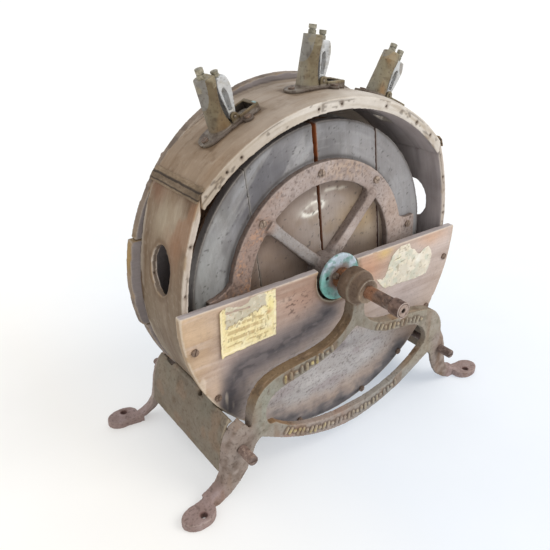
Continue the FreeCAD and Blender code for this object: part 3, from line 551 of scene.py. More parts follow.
# ---------------------------------------------------------------- drum: arch, side panels
def band_wood(skin, coords, radial, coat, thickness, seed, edge, inside):
    """Shift and colour shared by the arch and the bent panels; coords are (s, y, depth)."""
    noise, patch = fields(coords)
    outer, inner = skin.facing(radial), skin.facing(-radial)
    front, back = skin.facing(FRONT, 0.45, 0.85), skin.facing(-FRONT, 0.45, 0.85)
    ends = front + back
    chip = patch([60, 90, 90], seed + 3, 0.12, 0.45) * ease(skin.wear, 0.2, 0.6)
    # two broken cracks in the end grain, a third and two thirds through
    split = np.zeros(len(coords))
    for depth, shift in ((0.34, 5), (0.66, 6)):
        wander = 0.13 * value_noise(coords * [13, 0, 0] + 2.7, seed + shift)
        line = np.abs(coords[:, 2] / MM / thickness - depth - wander) * thickness
        present = ease(value_noise(coords * [22, 0, 0] + 5.1, seed + shift + 3), 0.15, 0.5)
        split = np.maximum(split, (1 - ease(line, 0.25, 1.1)) * present * ends)
    move = (0.28e-3 * noise([9, 30, 30], seed) + 0.09e-3 * noise([50, 380, 380], seed + 1, 2)
            + ends * 0.32e-3 * noise([28, 1, 330], seed + 2) - 0.9e-3 * chip - 0.5e-3 * split)
    coat = lay(
        coat,
        ((0.70, 0.64, 0.56), 0.60 * patch([9, 24, 24], seed + 10, -0.05, 0.5, 4), TINT),
        ((1.22, 1.24, 1.26), 0.65 * patch([17, 30, 30], seed + 11, 0.08, 0.5, 4), TINT),
        ((0.74, 0.66, 0.58), 0.45 * patch([6, 150, 150], seed + 12, 0.12, 0.5), TINT),
        ((0.62, 0.54, 0.46), 0.45 * patch([70, 120, 120], seed + 13, 0.28, 0.6, 4), TINT),
        ((184, 172, 156), 0.16 * patch([200, 380, 380], seed + 17, 0.36, 0.6, 2) * outer))
    end_coat = lay(
        srgb(*edge),
        ((0.78, 0.74, 0.68), 0.8 * patch([16, 1, 300], seed + 14, 0, 0.45), TINT),
        ((0.62, 0.54, 0.44), 0.55 * patch([30, 1, 110], seed + 15, 0.22, 0.6), TINT),
        ((74, 60, 50), 0.55 * patch([120, 1, 240], seed + 18, 0.44, 0.62, 2)))
    inner_coat = lay(srgb(*inside),
                     ((96, 88, 84), 0.6 * patch([8, 60, 60], seed + 16, 0, 0.5)))
    coat = lay(
        mix(mix(coat, end_coat, ends), inner_coat, inner),
        ((222, 212, 198), 0.5 * ease(skin.wear, 0.25, 0.7) * (1 - chip) * (outer * 0.5 + ends)),
        ((96, 82, 70), 0.60 * split),
        ((176, 152, 122), 0.6 * chip),
        ((0.5, 0.46, 0.42), 0.7 * ease(skin.cav, 0.15, 0.7), TINT))
    return move, coat, outer, inner, front


def nail_holes(skin, move, coat, spots, front):
    """Dark sunk holes with a rust halo, at (x, z) spots on the front edge."""
    x, _, z = skin.mm
    for spot_x, spot_z in spots:
        r = np.hypot(x - spot_x, z - spot_z)
        hole = (1 - ease(r, 0.9, 1.9)) * (front > 0.3)
        move = move - 1.5e-3 * hole
        halo = 1 - ease(r + 1.2 * value_noise(skin.pos * 300, 77), 1.8, 4.2)
        coat = lay(coat, ((38, 30, 26), hole), ((110, 90, 74), 0.45 * halo * front))
    return move, coat


def arch_piece():
    skin = open_skin("top_arch", 0.0012)
    x, y, z = skin.mm
    angle = np.arctan2(x, z - ARCH_Z)
    radial = np.c_[np.sin(angle), 0 * angle, np.cos(angle)]
    along = angle * ARCH_R
    coords = np.c_[along, y, ARCH_R - np.hypot(x, z - ARCH_Z)] * MM
    noise, _ = fields(coords)
    # brown at the left end to pale at the right
    tone = np.clip((along + 190) / 290, 0, 1)
    coat = mix(srgb(149, 128, 106), srgb(162, 148, 134), ease(tone, 0, 0.5))
    coat = mix(coat, srgb(200, 193, 185), ease(tone, 0.5, 1))
    move, coat, outer, inner, front = band_wood(
        skin, coords, radial, coat, ARCH_T, seed=100, edge=(212, 204, 194),
        inside=(176, 166, 165))
    # the worn front edge shows paler wood
    rim = ease(-y + 5 * noise(60, 120), 37, 44) * outer
    coat = lay(coat, ((0.72, 0.67, 0.61), ease(-along, 40, 150) * front, TINT),
               ((196, 187, 175), 0.50 * rim * ease(along, -90, 40)))
    # painted shade round the foot of each holder, dark where it sits on the arch and fading
    # further out
    ragged = noise(90, 131)
    for _, degrees in HOLDERS:
        across = np.abs(along - math.radians(degrees) * ARCH_R)
        gap = np.hypot(np.maximum(across - 36, 0), np.maximum(np.abs(y) - 16, 0))
        coat = lay(
            coat,
            ((0.50, 0.44, 0.38), 0.80 * (1 - ease(gap + 3 * ragged, 0, 4.5)) * outer, TINT),
            ((0.80, 0.74, 0.66), 0.60 * (1 - ease(gap + 9 * ragged, 2, 20)) * outer, TINT))
    spots = [polar(0, ARCH_Z, ARCH_NAIL_R, a) for a in (50.5, 58.5, 73, 89.5, 97.2, 122, 127)]
    move, coat = nail_holes(skin, move, coat, spots, front)
    finish("drum_arch_board", skin, "top_arch", WOOD_RAW, coat, 0.62 + 0.2 * (front + inner),
           move, coords)


def panel_piece(side_name, side):
    skin = open_skin(side_name + "_panel", 0.0013)
    x, y, z = skin.mm
    out, rise = side * x, z - SHAFT_Z
    upper = rise > 0
    centre = np.where(upper, -SIDE_X, 0.0)
    radius = np.where(upper, SIDE_R, DRUM_R)
    angle = np.arctan2(rise, out - centre)
    radial = np.c_[side * np.cos(angle), 0 * angle, np.sin(angle)]
    coords = np.c_[angle * radius, y, radius - np.hypot(out - centre, rise)] * MM
    coords = coords + [3.0 * (side > 0), 0, 0]   # each side gets its own stretch of grain
    noise, patch = fields(coords)
    seed = 200 if side < 0 else 240
    coat = mix(srgb(132, 119, 102), srgb(132, 110, 88), ease(z, 120, 330))
    move, coat, outer, inner, front = band_wood(
        skin, coords, radial, coat, PANEL_T, seed, edge=(188, 175, 163), inside=(178, 168, 167))
    broad = noise([24, 44, 44], seed + 40, 4)
    hole = np.hypot((z - 253) / 27.5, y / 20.5)   # below 1 inside the hand hole
    hole_ring = 1 - ease(np.abs(hole - 1.12 + 0.10 * value_noise(coords * 120, seed + 33)),
                         0.02, 0.22)
    degrees = np.degrees(np.arctan2(rise, out))
    saddle_gap = np.maximum(np.abs(degrees + 41) - 8, 0) + 2.5 * noise(80, seed + 34)
    coat = lay(
        coat,
        # broad hand-worn patches: pale bloom high up, brown stain round the hand hole
        ((172, 158, 134), 0.62 * blob(y + 10 * broad, z + 14 * broad, 2, 305, 24, 26) * outer),
        ((132, 94, 66), 0.50 * blob(y + 9 * broad, z + 16 * broad, -26, 292, 16, 30) * outer),
        ((150, 104, 76), 0.45 * blob(y, z + 10 * broad, 30, 330, 18, 12) * outer),
        ((160, 146, 126), 0.45 * patch([20, 26, 26], seed + 41, 0.10, 0.42, 4) * outer
         * ease(-y, -40, 10)),
        ((0.60, 0.50, 0.41), 0.75 * patch([15, 34, 34], seed + 42, 0, 0.36, 4) * outer, TINT),
        ((176, 160, 138), 0.40 * patch([34, 60, 60], seed + 46, 0.10, 0.40, 5) * outer
         * ease(z, 255, 300) * (1 - ease(z, 318, 334))),
        ((148, 106, 76), 0.45 * patch([24, 40, 40], seed + 47, 0.08, 0.40, 4) * outer
         * ease(z, 250, 300) * ease(-y, -10, 30)),
        ((0.70, 0.62, 0.54),
         0.70 * blob(y + 8 * broad, z + 10 * broad, 4, 276, 22, 20) * outer, TINT),
        ((206, 196, 182), 0.45 * ease(y, 34, 46) * patch([60, 200, 60], seed + 43, -0.2, 0.3)
         * outer),
        # grime, a pale lip and the cut wall of the hand hole
        ((0.60, 0.50, 0.40), 0.65 * hole_ring * outer * upper, TINT),
        ((160, 138, 112), 0.35 * (1 - ease(np.abs(hole - 1), 0, 0.05)) * outer * upper),
        ((112, 98, 86), 0.95 * (hole < 1) * upper * (1 - outer)),
        # rust and grime above the saddle, streaks lower down
        ((88, 70, 54), 0.7 * (1 - ease(saddle_gap, 0, 5)) * outer),
        ((106, 86, 66), 0.45 * patch([4, 90, 90], seed + 35, 0.05, 0.5) * outer
         * ease(-rise, -50, 80)))
    spots = [polar(-side * SIDE_X, SHAFT_Z, SIDE_R - SIDE_NAIL_INSET, a if side > 0 else 180 - a)
             for a in (6, 16, 26)]
    move, coat = nail_holes(skin, move, coat, spots, front)
    finish(side_name + "_bent_panel", skin, side_name + "_panel", WOOD, coat,
           0.60 + 0.2 * (front + inner), move, coords)


# ---------------------------------------------------------------- end boards
# x, z along the dark run that follows the frame's arm
STAIN = [(-160, 82), (-158, 104), (-151, 124), (-137, 137), (-118, 142),
         (-98, 144), (-78, 147), (-54, 152), (-32, 158), (-14, 168)]


def front_board_piece():
    skin = open_skin("front_board", 0.0013)
    coords = skin.pos
    x, _, z = skin.mm
    noise, patch = fields(coords)
    face, back = skin.facing(FRONT), skin.facing(-FRONT)
    top = skin.facing(UP) * ease(z, 222, 224)
    chip = patch(80, 302, 0.15, 0.5) * ease(skin.wear, 0.2, 0.6)
    move = (0.25e-3 * noise([7, 3, 34], 300) + 0.08e-3 * noise([40, 200, 420], 301, 2)
            - 0.9e-3 * chip)
    broad, mid, fine = noise(22, 303), noise(60, 304), noise(200, 305)
    grain, fibre = noise([6, 1, 90], 306), noise([26, 1, 150], 308)
    pale_area = blob(x + 14 * broad, z + 6 * mid, -15, 88, 120, 40)
    run = path_distance(x + 5 * broad, z, STAIN)
    dark = bell(np.maximum(run + 7 * mid + 3 * fibre, 0), 15.0)
    rim = BOARD_R - np.hypot(x, z - BOARD_Z)
    mould_zone = ease(132 - np.abs(x - 18), 0, 30) * ease(96 - z, 0, 25)
    mould = 1 - ease(rim + 11 * mid + 6 * fine + 5 * fibre, 9, 33)
    speck_zone = 0.25 + 0.75 * ease(pale_area, 0.12, 0.5)
    notch = np.hypot(x, z - SHAFT_Z) - 32
    face_coat = lay(
        srgb(188, 168, 154),
        # large uneven stains
        ((196, 168, 138), 0.9 * ease(-x + 22 * broad, 140, 184)),
        ((214, 182, 146), 0.6 * ease(-x + 30 * mid, 158, 196) * ease(broad, -0.3, 0.3)),
        ((180, 146, 128), 0.9 * blob(x + 14 * broad, z, -60, 200, 46, 30)),
        ((150, 120, 102), 0.7 * blob(x, z + 6 * broad, -70, 216, 60, 11)),
        ((128, 112, 106), 0.75 * blob(x + 8 * broad, z, -104, 152, 54, 15)),
        ((206, 158, 128), 0.85 * blob(x + 8 * mid, z, 50, 206, 34, 24)),
        ((218, 186, 118), 0.75 * blob(x + 6 * mid, z + 5 * broad, 76, 219, 13, 7)),
        ((206, 190, 182), 0.85 * ease(x + 20 * broad, 92, 150) * ease(z, 150, 200)),
        ((212, 172, 142), 0.75 * blob(x + 10 * broad, z + 4 * mid, 166, 219, 30, 12)),
        ((198, 184, 180), 0.85 * blob(x + 12 * broad, z, 118, 152, 60, 34)),
        ((184, 162, 152), 0.6 * blob(x, z, -150, 140, 34, 34)),
        # the pale grey part between arm and bow
        ((182, 178, 177), 0.95 * ease(pale_area, 0.12, 0.6)),
        ((160, 146, 146),
         0.55 * ease(pale_area, 0.2, 0.7) * patch([20, 1, 55], 307, -0.05, 0.45)),
        ((204, 200, 198), 0.55 * ease(pale_area, 0.3, 0.8) * patch([34, 1, 80], 315, 0, 0.4)),
        ((0.72, 0.66, 0.62),
         0.45 * ease(grain, 0.05, 0.5) * (1 - 0.5 * ease(pale_area, 0.1, 0.5)), TINT),
        ((214, 196, 182), 0.40 * patch([16, 1, 200], 316, 0.10, 0.5) * ease(-x, 20, 120)),
        # the dark run that follows the arm
        ((142, 132, 132), 0.80 * bell(np.maximum(run + 9 * broad + 5 * fibre, 0), 25.0)),
        ((94, 89, 91), np.clip(dark * (0.62 + 0.5 * ease(fibre, -0.3, 0.4)), 0, 0.90)),
        ((72, 68, 71), 0.62 * bell(np.maximum(run + 6 * mid, 0), 8.0)
         * patch([120, 1, 240], 317, -0.15, 0.2)),
        ((72, 68, 72), 0.80 * blob(x + 8 * mid, z + 6 * broad, -152, 108, 12, 24)),
        ((206, 180, 158), 0.75 * blob(x + 6 * broad, z, -174, 122, 8, 28)),
        # dark haze between arm and rim, near the middle
        ((104, 98, 99), 0.60 * blob(x + 12 * broad, z + 6 * mid, -4, 112, 50, 8)
         * ease(fibre, -0.3, 0.3)),
        # mould along the lower rim
        ((122, 118, 120), 0.85 * mould * mould_zone),
        ((88, 85, 88), 0.75 * (1 - ease(rim + 12 * mid + 9 * fibre, 2, 18)) * mould_zone),
        ((58, 56, 58), 0.65 * (1 - ease(rim + 8 * mid + 6 * fine, 0, 13)) * mould_zone
         * patch(130, 309, -0.1, 0.3)),
        # fine specks, thick in the pale part
        ((118, 110, 108), 0.42 * patch([420, 1, 700], 310, 0.26, 0.5, 2) * speck_zone),
        ((70, 62, 60), 0.50 * patch([300, 1, 520], 318, 0.46, 0.60, 2) * speck_zone),
        ((70, 50, 42), 0.85 * patch([260, 1, 420], 311, 0.32, 0.5, 2)
         * blob(x, z, -62, 194, 22, 16)),
        ((232, 218, 200), 0.45 * patch([90, 1, 30], 312, 0.42, 0.62, 2) * ease(-x, 110, 190)),
        # round the shaft notch, and the rim
        ((112, 84, 62), 0.8 * (1 - ease(notch + 4 * mid, 0, 9))),
        ((172, 146, 116), 0.5 * (1 - ease(rim + 3 * broad, 0, 7)) * ease(z, 90, 150)))
    top_coat = lay(srgb(176, 167, 166),
                   ((142, 132, 132), 0.6 * patch([30, 200, 1], 313, -0.1, 0.4)),
                   ((178, 168, 166), 0.6 * ease(x, 60, 150)))
    side_coat = lay(srgb(160, 138, 112), ((104, 84, 66), 0.7 * patch([60, 300, 60], 314, 0, 0.4)))
    back_coat = lay(srgb(138, 124, 108), ((96, 82, 70), 0.6 * ease(grain, 0, 0.5)))
    rest = np.clip(1 - face - back - top, 0, 1)
    coat = (face_coat * face[:, None] + back_coat * back[:, None] + top_coat * top[:, None]
            + side_coat * rest[:, None])
    coat = lay(coat, ((226, 212, 192), 0.6 * ease(skin.wear, 0.22, 0.7) * (1 - chip)),
               ((190, 160, 122), 0.6 * chip))
    finish("front_half_board", skin, "front_board", WOOD, coat,
           0.58 + 0.2 * ease(pale_area, 0.2, 0.6), move, coords)


def rear_board_piece(part, seed):
    node = "rear_board_" + part
    skin = open_skin(node, 0.0016, far=16, scale=0.0007)
    x, y, z = skin.mm
    coords = skin.pos + [seed * 0.37, 0, seed * 0.11]
    noise, patch = fields(coords)
    face, front = skin.facing(-FRONT), skin.facing(FRONT)
    side = np.clip(1 - face - front, 0, 1)
    chip = patch(70, seed + 2, 0.12, 0.45) * ease(skin.wear, 0.2, 0.6)
    move = (0.35e-3 * noise([6, 3, 30], seed) + 0.12e-3 * noise([30, 200, 360], seed + 1, 2)
            - 1.0e-3 * chip)
    broad, mid = noise(20, seed + 3), noise(70, seed + 4)
    r = np.hypot(x, z - SHAFT_Z)
    coat = lay(
        srgb(150, 134, 116),
        ((118, 98, 76), 0.8 * patch([4, 1, 24], seed + 5, -0.15, 0.45)),
        ((182, 170, 152), 0.6 * patch([7, 1, 40], seed + 6, 0.05, 0.5)),
        ((84, 70, 56), 0.6 * patch([5, 1, 150], seed + 7, 0.1, 0.5)),
        ((104, 84, 62), 0.6 * bell(r - 40 + 10 * broad, 26)),
        ((96, 88, 82), 0.6 * blob(x + 14 * broad, z, 40, 150, 60, 46)),
        ((74, 66, 62), 0.6 * ease(60 - z + 14 * broad, 0, 40)),
        # the joints between planks
        *[((64, 52, 42), 0.7 * (1 - ease(np.abs(z - joint) + 2 * mid, 0.8, 4.5)))
          for joint in (165.0, 271.0)])
    # front side: a pale rim next to the arch, painted as the lit top of the arch running on up
    # the plank, with a painted shadow line along its outer edge
    ring = np.hypot(x, z - ARCH_Z) - 241.4
    high = ease(z, 300, 340)
    front_coat = lay(
        srgb(146, 138, 137),
        ((112, 104, 102), 0.6 * ease(broad, -0.1, 0.4)),
        ((172, 158, 144), 0.95 * (1 - ease(ring + 0.8 * mid, 5.2, 7.2)) * high),
        ((104, 94, 88), 0.8 * bell(ring - 6.8 + 0.8 * mid, 0.9) * high))
    coat = lay(
        mix(coat, front_coat, front),
        ((128, 112, 98), 0.8 * side),
        ((96, 82, 72), 0.7 * side * patch([120, 20, 120], seed + 8, -0.1, 0.35)),
        ((168, 136, 74), 0.75 * side * blob(y, z, 54, 252, 7, 22) * (x < 0)),
        ((188, 176, 162), 0.4 * ease(skin.wear, 0.25, 0.7) * (1 - chip)),
        ((176, 148, 112), 0.5 * chip))
    finish("rear_plank_" + part, skin, node, WOOD, coat, 0.66, move, coords)


# ---------------------------------------------------------------- disc and spider
DISC_TURN = math.radians(8.0)
# centre of the painted highlight where the wood inside the ring shines
SHEEN_SPOT = (-13.0, 288.0)   # x, z


def disc_board_piece(k):
    node = "front_disc_board_%d" % k
    skin = open_skin(node, 0.0014, far=14)
    pos = skin.pos
    x, y, z = skin.mm
    rise = z - SHAFT_Z
    across = x * math.cos(DISC_TURN) + rise * math.sin(DISC_TURN)
    along = -x * math.sin(DISC_TURN) + rise * math.cos(DISC_TURN)
    coords = np.c_[along * MM + 0.9 * k, y * MM, across * MM]
    grain_noise, grain_patch = fields(coords)
    noise, patch = fields(pos)
    r, angle = np.hypot(x, rise), np.arctan2(rise, x)
    chip = grain_patch(80, 420 + k, 0.15, 0.5) * ease(skin.wear, 0.25, 0.6)
    move = (0.20e-3 * grain_noise([8, 3, 40], 400 + k)
            + 0.07e-3 * grain_noise([40, 200, 400], 410 + k, 2) - 0.6e-3 * chip)
    broad, mid = noise(24, 430), noise(70, 431)
    scuff = fbm(np.c_[r * 0.42, angle * 5, 0 * r], 438)
    smear = fbm(np.c_[(x * 0.62 + z * 0.78) * 0.010, 0 * x, (x * 0.78 - z * 0.62) * 0.075],
                445, octaves=4)
    outside = ease(r, 128, 140)
    inside = 1 - ease(r + 5 * broad, 104, 112)
    # painted highlight where the wood inside the ring shines: a smudged loop and a thin tail
    sheen_x, sheen_z = x - SHEEN_SPOT[0], z - SHEEN_SPOT[1]
    loop = np.hypot(sheen_x / 15.0, (sheen_z - 0.2 * sheen_x) / 7.5)
    loop_line = bell(loop - 0.95 + 0.25 * mid, 0.22) * patch(150, 442, -0.55, -0.05)
    tail = sheen_z - 18 + 0.004 * (sheen_x - 22) ** 2
    tail_span = ease(sheen_x, -8, 6) * (1 - ease(sheen_x, 40, 56))
    edge_on = np.abs(skin.nrm[:, 1]) < 0.75
    seam = (np.abs(across - 8.5) < 4.5) & edge_on
    right_seam = (np.abs(across - 99.6) < 2.5) & edge_on
    coat = lay(
        srgb(156, 154, 155),
        ((174, 172, 171), 0.50 * patch([30, 1, 22], 432, 0, 0.45, 4)),
        ((122, 119, 118), 0.65 * patch([20, 1, 15], 436, 0, 0.38, 5)),
        ((104, 101, 102), 0.45 * patch([46, 1, 34], 446, 0.14, 0.44, 4) * ease(r, 118, 140)),
        ((156, 158, 152), 0.5 * ease(-x + 30 * broad, 100, 165)),
        ((168, 164, 164), 0.5 * ease(x, 20, 110) * ease(z, 250, 330)),
        ((112, 107, 104), 0.20 * grain_patch([5, 1, 160], 437, 0.16, 0.5)),
        ((112, 110, 112), 0.18 * ease(scuff, 0.18, 0.5) * ease(r, 130, 150)),
        ((184, 182, 181), 0.20 * ease(-scuff, 0.25, 0.55) * ease(r, 120, 150)),
        # long slanting smears, upper left
        ((94, 92, 97), 0.78 * ease(smear, 0.02, 0.26)
         * np.clip(1.3 * blob(x, z, -85, 322, 66, 50), 0, 1) * outside),
        ((176, 178, 182), 0.40 * ease(-smear, 0.10, 0.34)
         * np.clip(1.3 * blob(x, z, -75, 330, 60, 44), 0, 1) * outside),
        # inside the ring the wood is browner, and darker low down
        ((164, 150, 141), 0.85 * inside),
        ((150, 132, 114), 0.6 * inside * patch(26, 441, -0.05, 0.35, 4)),
        ((186, 170, 148), 0.55 * inside * ease(x + 14 * broad, 34, 84)),
        ((140, 116, 98), 0.7 * inside * blob(x, z, -70, 262, 34, 40)),
        ((178, 150, 108), 0.75 * inside * blob(x + 10 * mid, z, 62, 262, 34, 22)),
        ((118, 98, 84), 0.7 * inside * ease(250 - z + 12 * broad, 0, 34)),
        # painted shade along the inner edge of the spider ring
        ((112, 92, 78), 0.6 * inside * bell(r - 100, 9)),
        # painted highlight where the wood inside the ring shines
        ((240, 236, 226), np.clip(1.2 * loop_line, 0, 0.95)),
        ((220, 213, 200), 0.50 * np.exp(-(loop / 1.5) ** 4) * patch(110, 443, -0.2, 0.25)),
        ((226, 220, 206), 0.60 * bell(tail, 2.2) * tail_span * patch(120, 444, -0.3, 0.15)),
        # bare orange wood where the seams have opened
        ((122, 76, 50), 0.95 * seam),
        ((168, 98, 54), 0.85 * seam * ease(z, 318, 352)),
        ((128, 70, 52), 0.9 * right_seam),
        ((72, 64, 60), 0.7 * bell(across - 100, 1.3) + 0.15 * bell(across + 86, 0.9)),
        # a dark ring at radius 174, a painted shade line round the outer edge of the spider ring,
        # and dark dots
        ((84, 76, 72), 0.8 * bell(r - 174, 2.0)),
        ((60, 54, 50), 0.6 * bell(r - 134, 2.2)),
        ((72, 68, 66), 0.7 * patch(300, 440, 0.52, 0.68, 2)),
        ((206, 200, 190), 0.4 * ease(skin.wear, 0.3, 0.8)))
    finish("front_disc_plank_%d" % k, skin, node, WOOD_GREY, coat, 0.50 + 0.12 * inside, move,
           coords)


def spider_piece():
    skin = cast_skin("front_spider", 0.0011, 500)
    pos = skin.pos
    noise, patch = fields(pos)
    x, _, z = skin.mm
    r = np.hypot(x, z - SHAFT_Z)
    broad = noise(30, 503)
    ring = ease(r, 104, 110)
    left = ease(-x, 50, 105) * ring
    flat = skin.facing(FRONT, 0.45, 0.85)
    spoke = (1 - ease(r, 96, 110)) * flat
    coat = lay(
        srgb(166, 152, 146),
        ((182, 168, 162), 0.6 * ease(broad, 0, 0.4)),
        ((150, 132, 122), 0.6 * patch(45, 505, 0, 0.4)),
        ((128, 112, 104), 0.4 * patch(140, 506, 0.1, 0.5)),
        # the ring, rusty at the left
        ((146, 120, 106), 0.7 * left),
        ((196, 150, 118), 0.75 * left * ease(value_noise(pos * 460, 507), 0.15, 0.5)
         * patch(40, 509, -0.3, 0.2, 2)),
        ((196, 172, 152), 0.6 * blob(x, z, 28, 330, 40, 16)
         * ease(value_noise(pos * 300, 508), -0.3, 0.4)),
        ((196, 174, 160), 0.6 * blob(x, z, 118, 262, 26, 50) * ring),
        # painted shade on the side walls of the ring and spokes
        ((112, 98, 90), 0.7 * (1 - flat) * ease(r, 24, 40)),
        # spokes and hub
        ((152, 147, 144), 0.80 * spoke * ease(-x, -10, 20)),
        ((154, 138, 129), 0.75 * spoke * ease(x, 0, 20)),
        ((206, 192, 186), 0.55 * spoke * blob(x, z, 34, 250, 20, 22)),
        ((104, 94, 88), 0.65 * (1 - ease(r, 20, 34))),
        ((204, 190, 180), 0.5 * ease(skin.wear, 0.25, 0.8)),
        ((0.42, 0.36, 0.32), 0.85 * ease(skin.cav, 0.12, 0.7), TINT),
        ((78, 62, 54), 0.5 * skin.pit))
    finish("front_spider_casting", skin, "front_spider", IRON, coat, 0.62 + 0.1 * broad,
           skin.move)


# ---------------------------------------------------------------- flange, shaft, sleeve, collars
def flange_piece():
    skin = cast_skin("brass_flange", 0.0007, 520, rough=0.7)
    noise, patch = fields(skin.pos)
    x, _, z = skin.mm
    r = np.hypot(x, z - SHAFT_Z)
    broad, mid = noise(70, 521), noise(190, 522)
    hole = 1 - ease(np.hypot(x + 19.5, z - 214.4), 1.6, 2.8)
    coat = lay(
        srgb(148, 178, 176),
        ((110, 166, 156), 0.75 * ease(broad, -0.1, 0.35)),
        ((196, 208, 220), 0.90 * ease(mid, -0.10, 0.2) * ease(z, 206, 228)),
        ((122, 124, 134), 0.6 * patch(110, 523, 0.05, 0.4) * ease(z, 214, 238)),
        ((126, 196, 184), 0.7 * ease(r + 3 * broad, 22, 28)
         * ease(215 - z + 10 * broad, -10, 14)),
        ((84, 122, 118), 0.6 * ease(-mid, 0.1, 0.5)),
        ((150, 134, 128), 0.9 * (1 - ease(r + 3 * mid, 14, 21))),
        ((96, 66, 46), 0.8 * (1 - ease(r + 2.5 * mid, 10, 15))),
        ((30, 28, 28), hole),
        ((196, 214, 208), 0.5 * ease(skin.wear, 0.25, 0.8)))
    move = skin.move - 0.8e-3 * hole * (skin.nrm[:, 1] < -0.3)
    finish("verdigris_flange", skin, "brass_flange", VERDIGRIS, coat, 0.70 + 0.15 * mid, move)


def shaft_piece():
    skin = cast_skin("shaft", 0.0008, 540, passes=2, rough=0.8)
    noise, patch = fields(skin.pos)
    x, y, z = skin.mm
    broad, mid, fine = noise([70, 40, 70], 541), noise(170, 542), noise(480, 543, 2)
    centre_mark = 1 - ease(np.hypot(x, z - SHAFT_Z), 2.3, 3.2)
    coat = lay(
        srgb(122, 102, 92),
        ((142, 112, 92), 0.7 * ease(broad, -0.1, 0.4)),
        ((82, 64, 56), 0.7 * ease(mid, 0, 0.4)),
        ((150, 136, 126), 0.6 * patch(120, 544, 0.1, 0.45)),
        ((150, 100, 66), 0.65 * (1 - ease(np.abs(y + 113), 4, 11))),
        ((140, 92, 62), 0.7 * (1 - ease(np.abs(y + 80), 8, 20))),
        ((170, 134, 108), 0.5 * ease(fine, 0.3, 0.55)),
        ((78, 62, 54), 0.55 * ease(-y, 122, 136) * ease(broad, -0.3, 0.2)),
        # the front end face
        ((172, 152, 140), 0.85 * skin.facing(FRONT) * ease(-y, 140, 150)),
        ((74, 64, 58), 0.85 * centre_mark * ease(-y, 130, 140)),
        ((60, 46, 38), 0.5 * skin.pit))
    finish("rusty_shaft", skin, "shaft", STEEL, coat, 0.62 + 0.12 * mid,
           skin.move * ease(np.abs(y), 0, 1))


def sleeve_piece():
    skin = cast_skin("crank_seat_sleeve", 0.0007, 560, rough=0.9)
    noise, _ = fields(skin.pos)
    x, _, z = skin.mm
    r = np.hypot(x, z - SHAFT_Z)
    broad, mid = noise(90, 561), noise(260, 562)
    end = skin.facing(FRONT)
    coat = lay(
        srgb(122, 100, 90),
        ((80, 62, 56), 0.8 * ease(broad, -0.15, 0.35)),
        ((150, 126, 110), 0.6 * ease(mid, 0.05, 0.4)),
        ((196, 182, 174), 0.9 * end),
        ((104, 78, 62), 0.75 * end * bell(r - 7.6, 0.9)),
        ((200, 178, 160), 0.6 * ease(skin.wear, 0.2, 0.7)),
        ((70, 52, 42), 0.5 * skin.pit))
    finish("crank_seat", skin, "crank_seat_sleeve", STEEL, coat, 0.6 + 0.1 * mid, skin.move)


def collar_piece(end_name):
    skin = cast_skin(end_name + "_collar", 0.0008, 570)
    noise, _ = fields(skin.pos)
    broad, mid = noise(80, 571), noise(260, 572)
    coat = lay(
        srgb(118, 78, 50),
        ((168, 108, 64), 0.7 * ease(broad, 0, 0.4)),
        ((72, 52, 40), 0.7 * ease(mid, 0.05, 0.45)),
        ((190, 140, 96), 0.6 * ease(skin.wear, 0.25, 0.7)),
        ((58, 44, 36), 0.5 * skin.pit))
    finish(end_name + "_stop_collar", skin, end_name + "_collar", STEEL, coat,
           0.66 + 0.1 * mid, skin.move)


# ---------------------------------------------------------------- cast frames and saddles
# x, z along the rows of ornament on the front frame
ARM_LEFT = [(-106, 131.5), (-92, 134), (-76, 136.5), (-60, 139), (-46, 143), (-34, 147.5)]
ARM_RIGHT = [(34, 147), (48, 141.5), (64, 138.5), (84, 136.5), (102, 133.5), (118, 128)]
BOW = [(-104, 58), (-84, 47), (-62, 38.5), (-40, 33.5), (-18, 30.8), (0, 30), (18, 30.8),
       (40, 33.5), (62, 39), (80, 47)]
# row, spacing, height of its bars
ORNAMENT = ((ARM_LEFT, 7.6, 11.0), (ARM_RIGHT, 7.6, 9.5), (BOW, 7.0, 10.0))
BAR_WIDTH, BAR_PROUD, BAR_LEAN = 3.3, 2.6, 0.16
BEAD_SIZE, BEAD_PROUD = 4.6, 2.4
FRAME_FACE_Y, ORNAMENT_ROOT_Y = -95.0, -93.0


def walk(path, step):
    """(x, z, direction) at even steps along a path."""
    stops, start = [], 0.0
    for (x0, z0), (x1, z1) in zip(path[:-1], path[1:]):
        length = math.hypot(x1 - x0, z1 - z0)
        t = start
        while t <= length:
            stops.append((x0 + (x1 - x0) * t / length, z0 + (z1 - z0) * t / length,
                          math.atan2(z1 - z0, x1 - x0)))
            t += step
        start = t - length
    return stops


def ornament_shape(x, z, angle, width, height, proud):
    """A squared-off oval, turned by the angle."""
    cos, sin = math.cos(angle), math.sin(angle)
    outline = []
    for i in range(12):
        t = 2 * math.pi * i / 12
        u = math.copysign(abs(math.cos(t)) ** 0.7, math.cos(t)) * width / 2
        v = math.copysign(abs(math.sin(t)) ** 0.5, math.sin(t)) * height / 2
        outline.append(((x + u * cos - v * sin) * MM, (z + u * sin + v * cos) * MM))
    return prism(outline, (FRAME_FACE_Y - proud) * MM, ORNAMENT_ROOT_Y * MM)


def relief():
    """Raised foundry ornament: two leaning bars, then a round bead, along each row."""
    shapes = []
    for path, step, height in ORNAMENT:
        for i, (x, z, angle) in enumerate(walk(path, step)):
            if i % 3 == 2:
                shape = ornament_shape(x, z, angle, BEAD_SIZE, BEAD_SIZE, BEAD_PROUD)
            else:
                shape = ornament_shape(x, z, angle - BAR_LEAN, BAR_WIDTH, height, BAR_PROUD)
            shapes.append(shape)
    return shapes


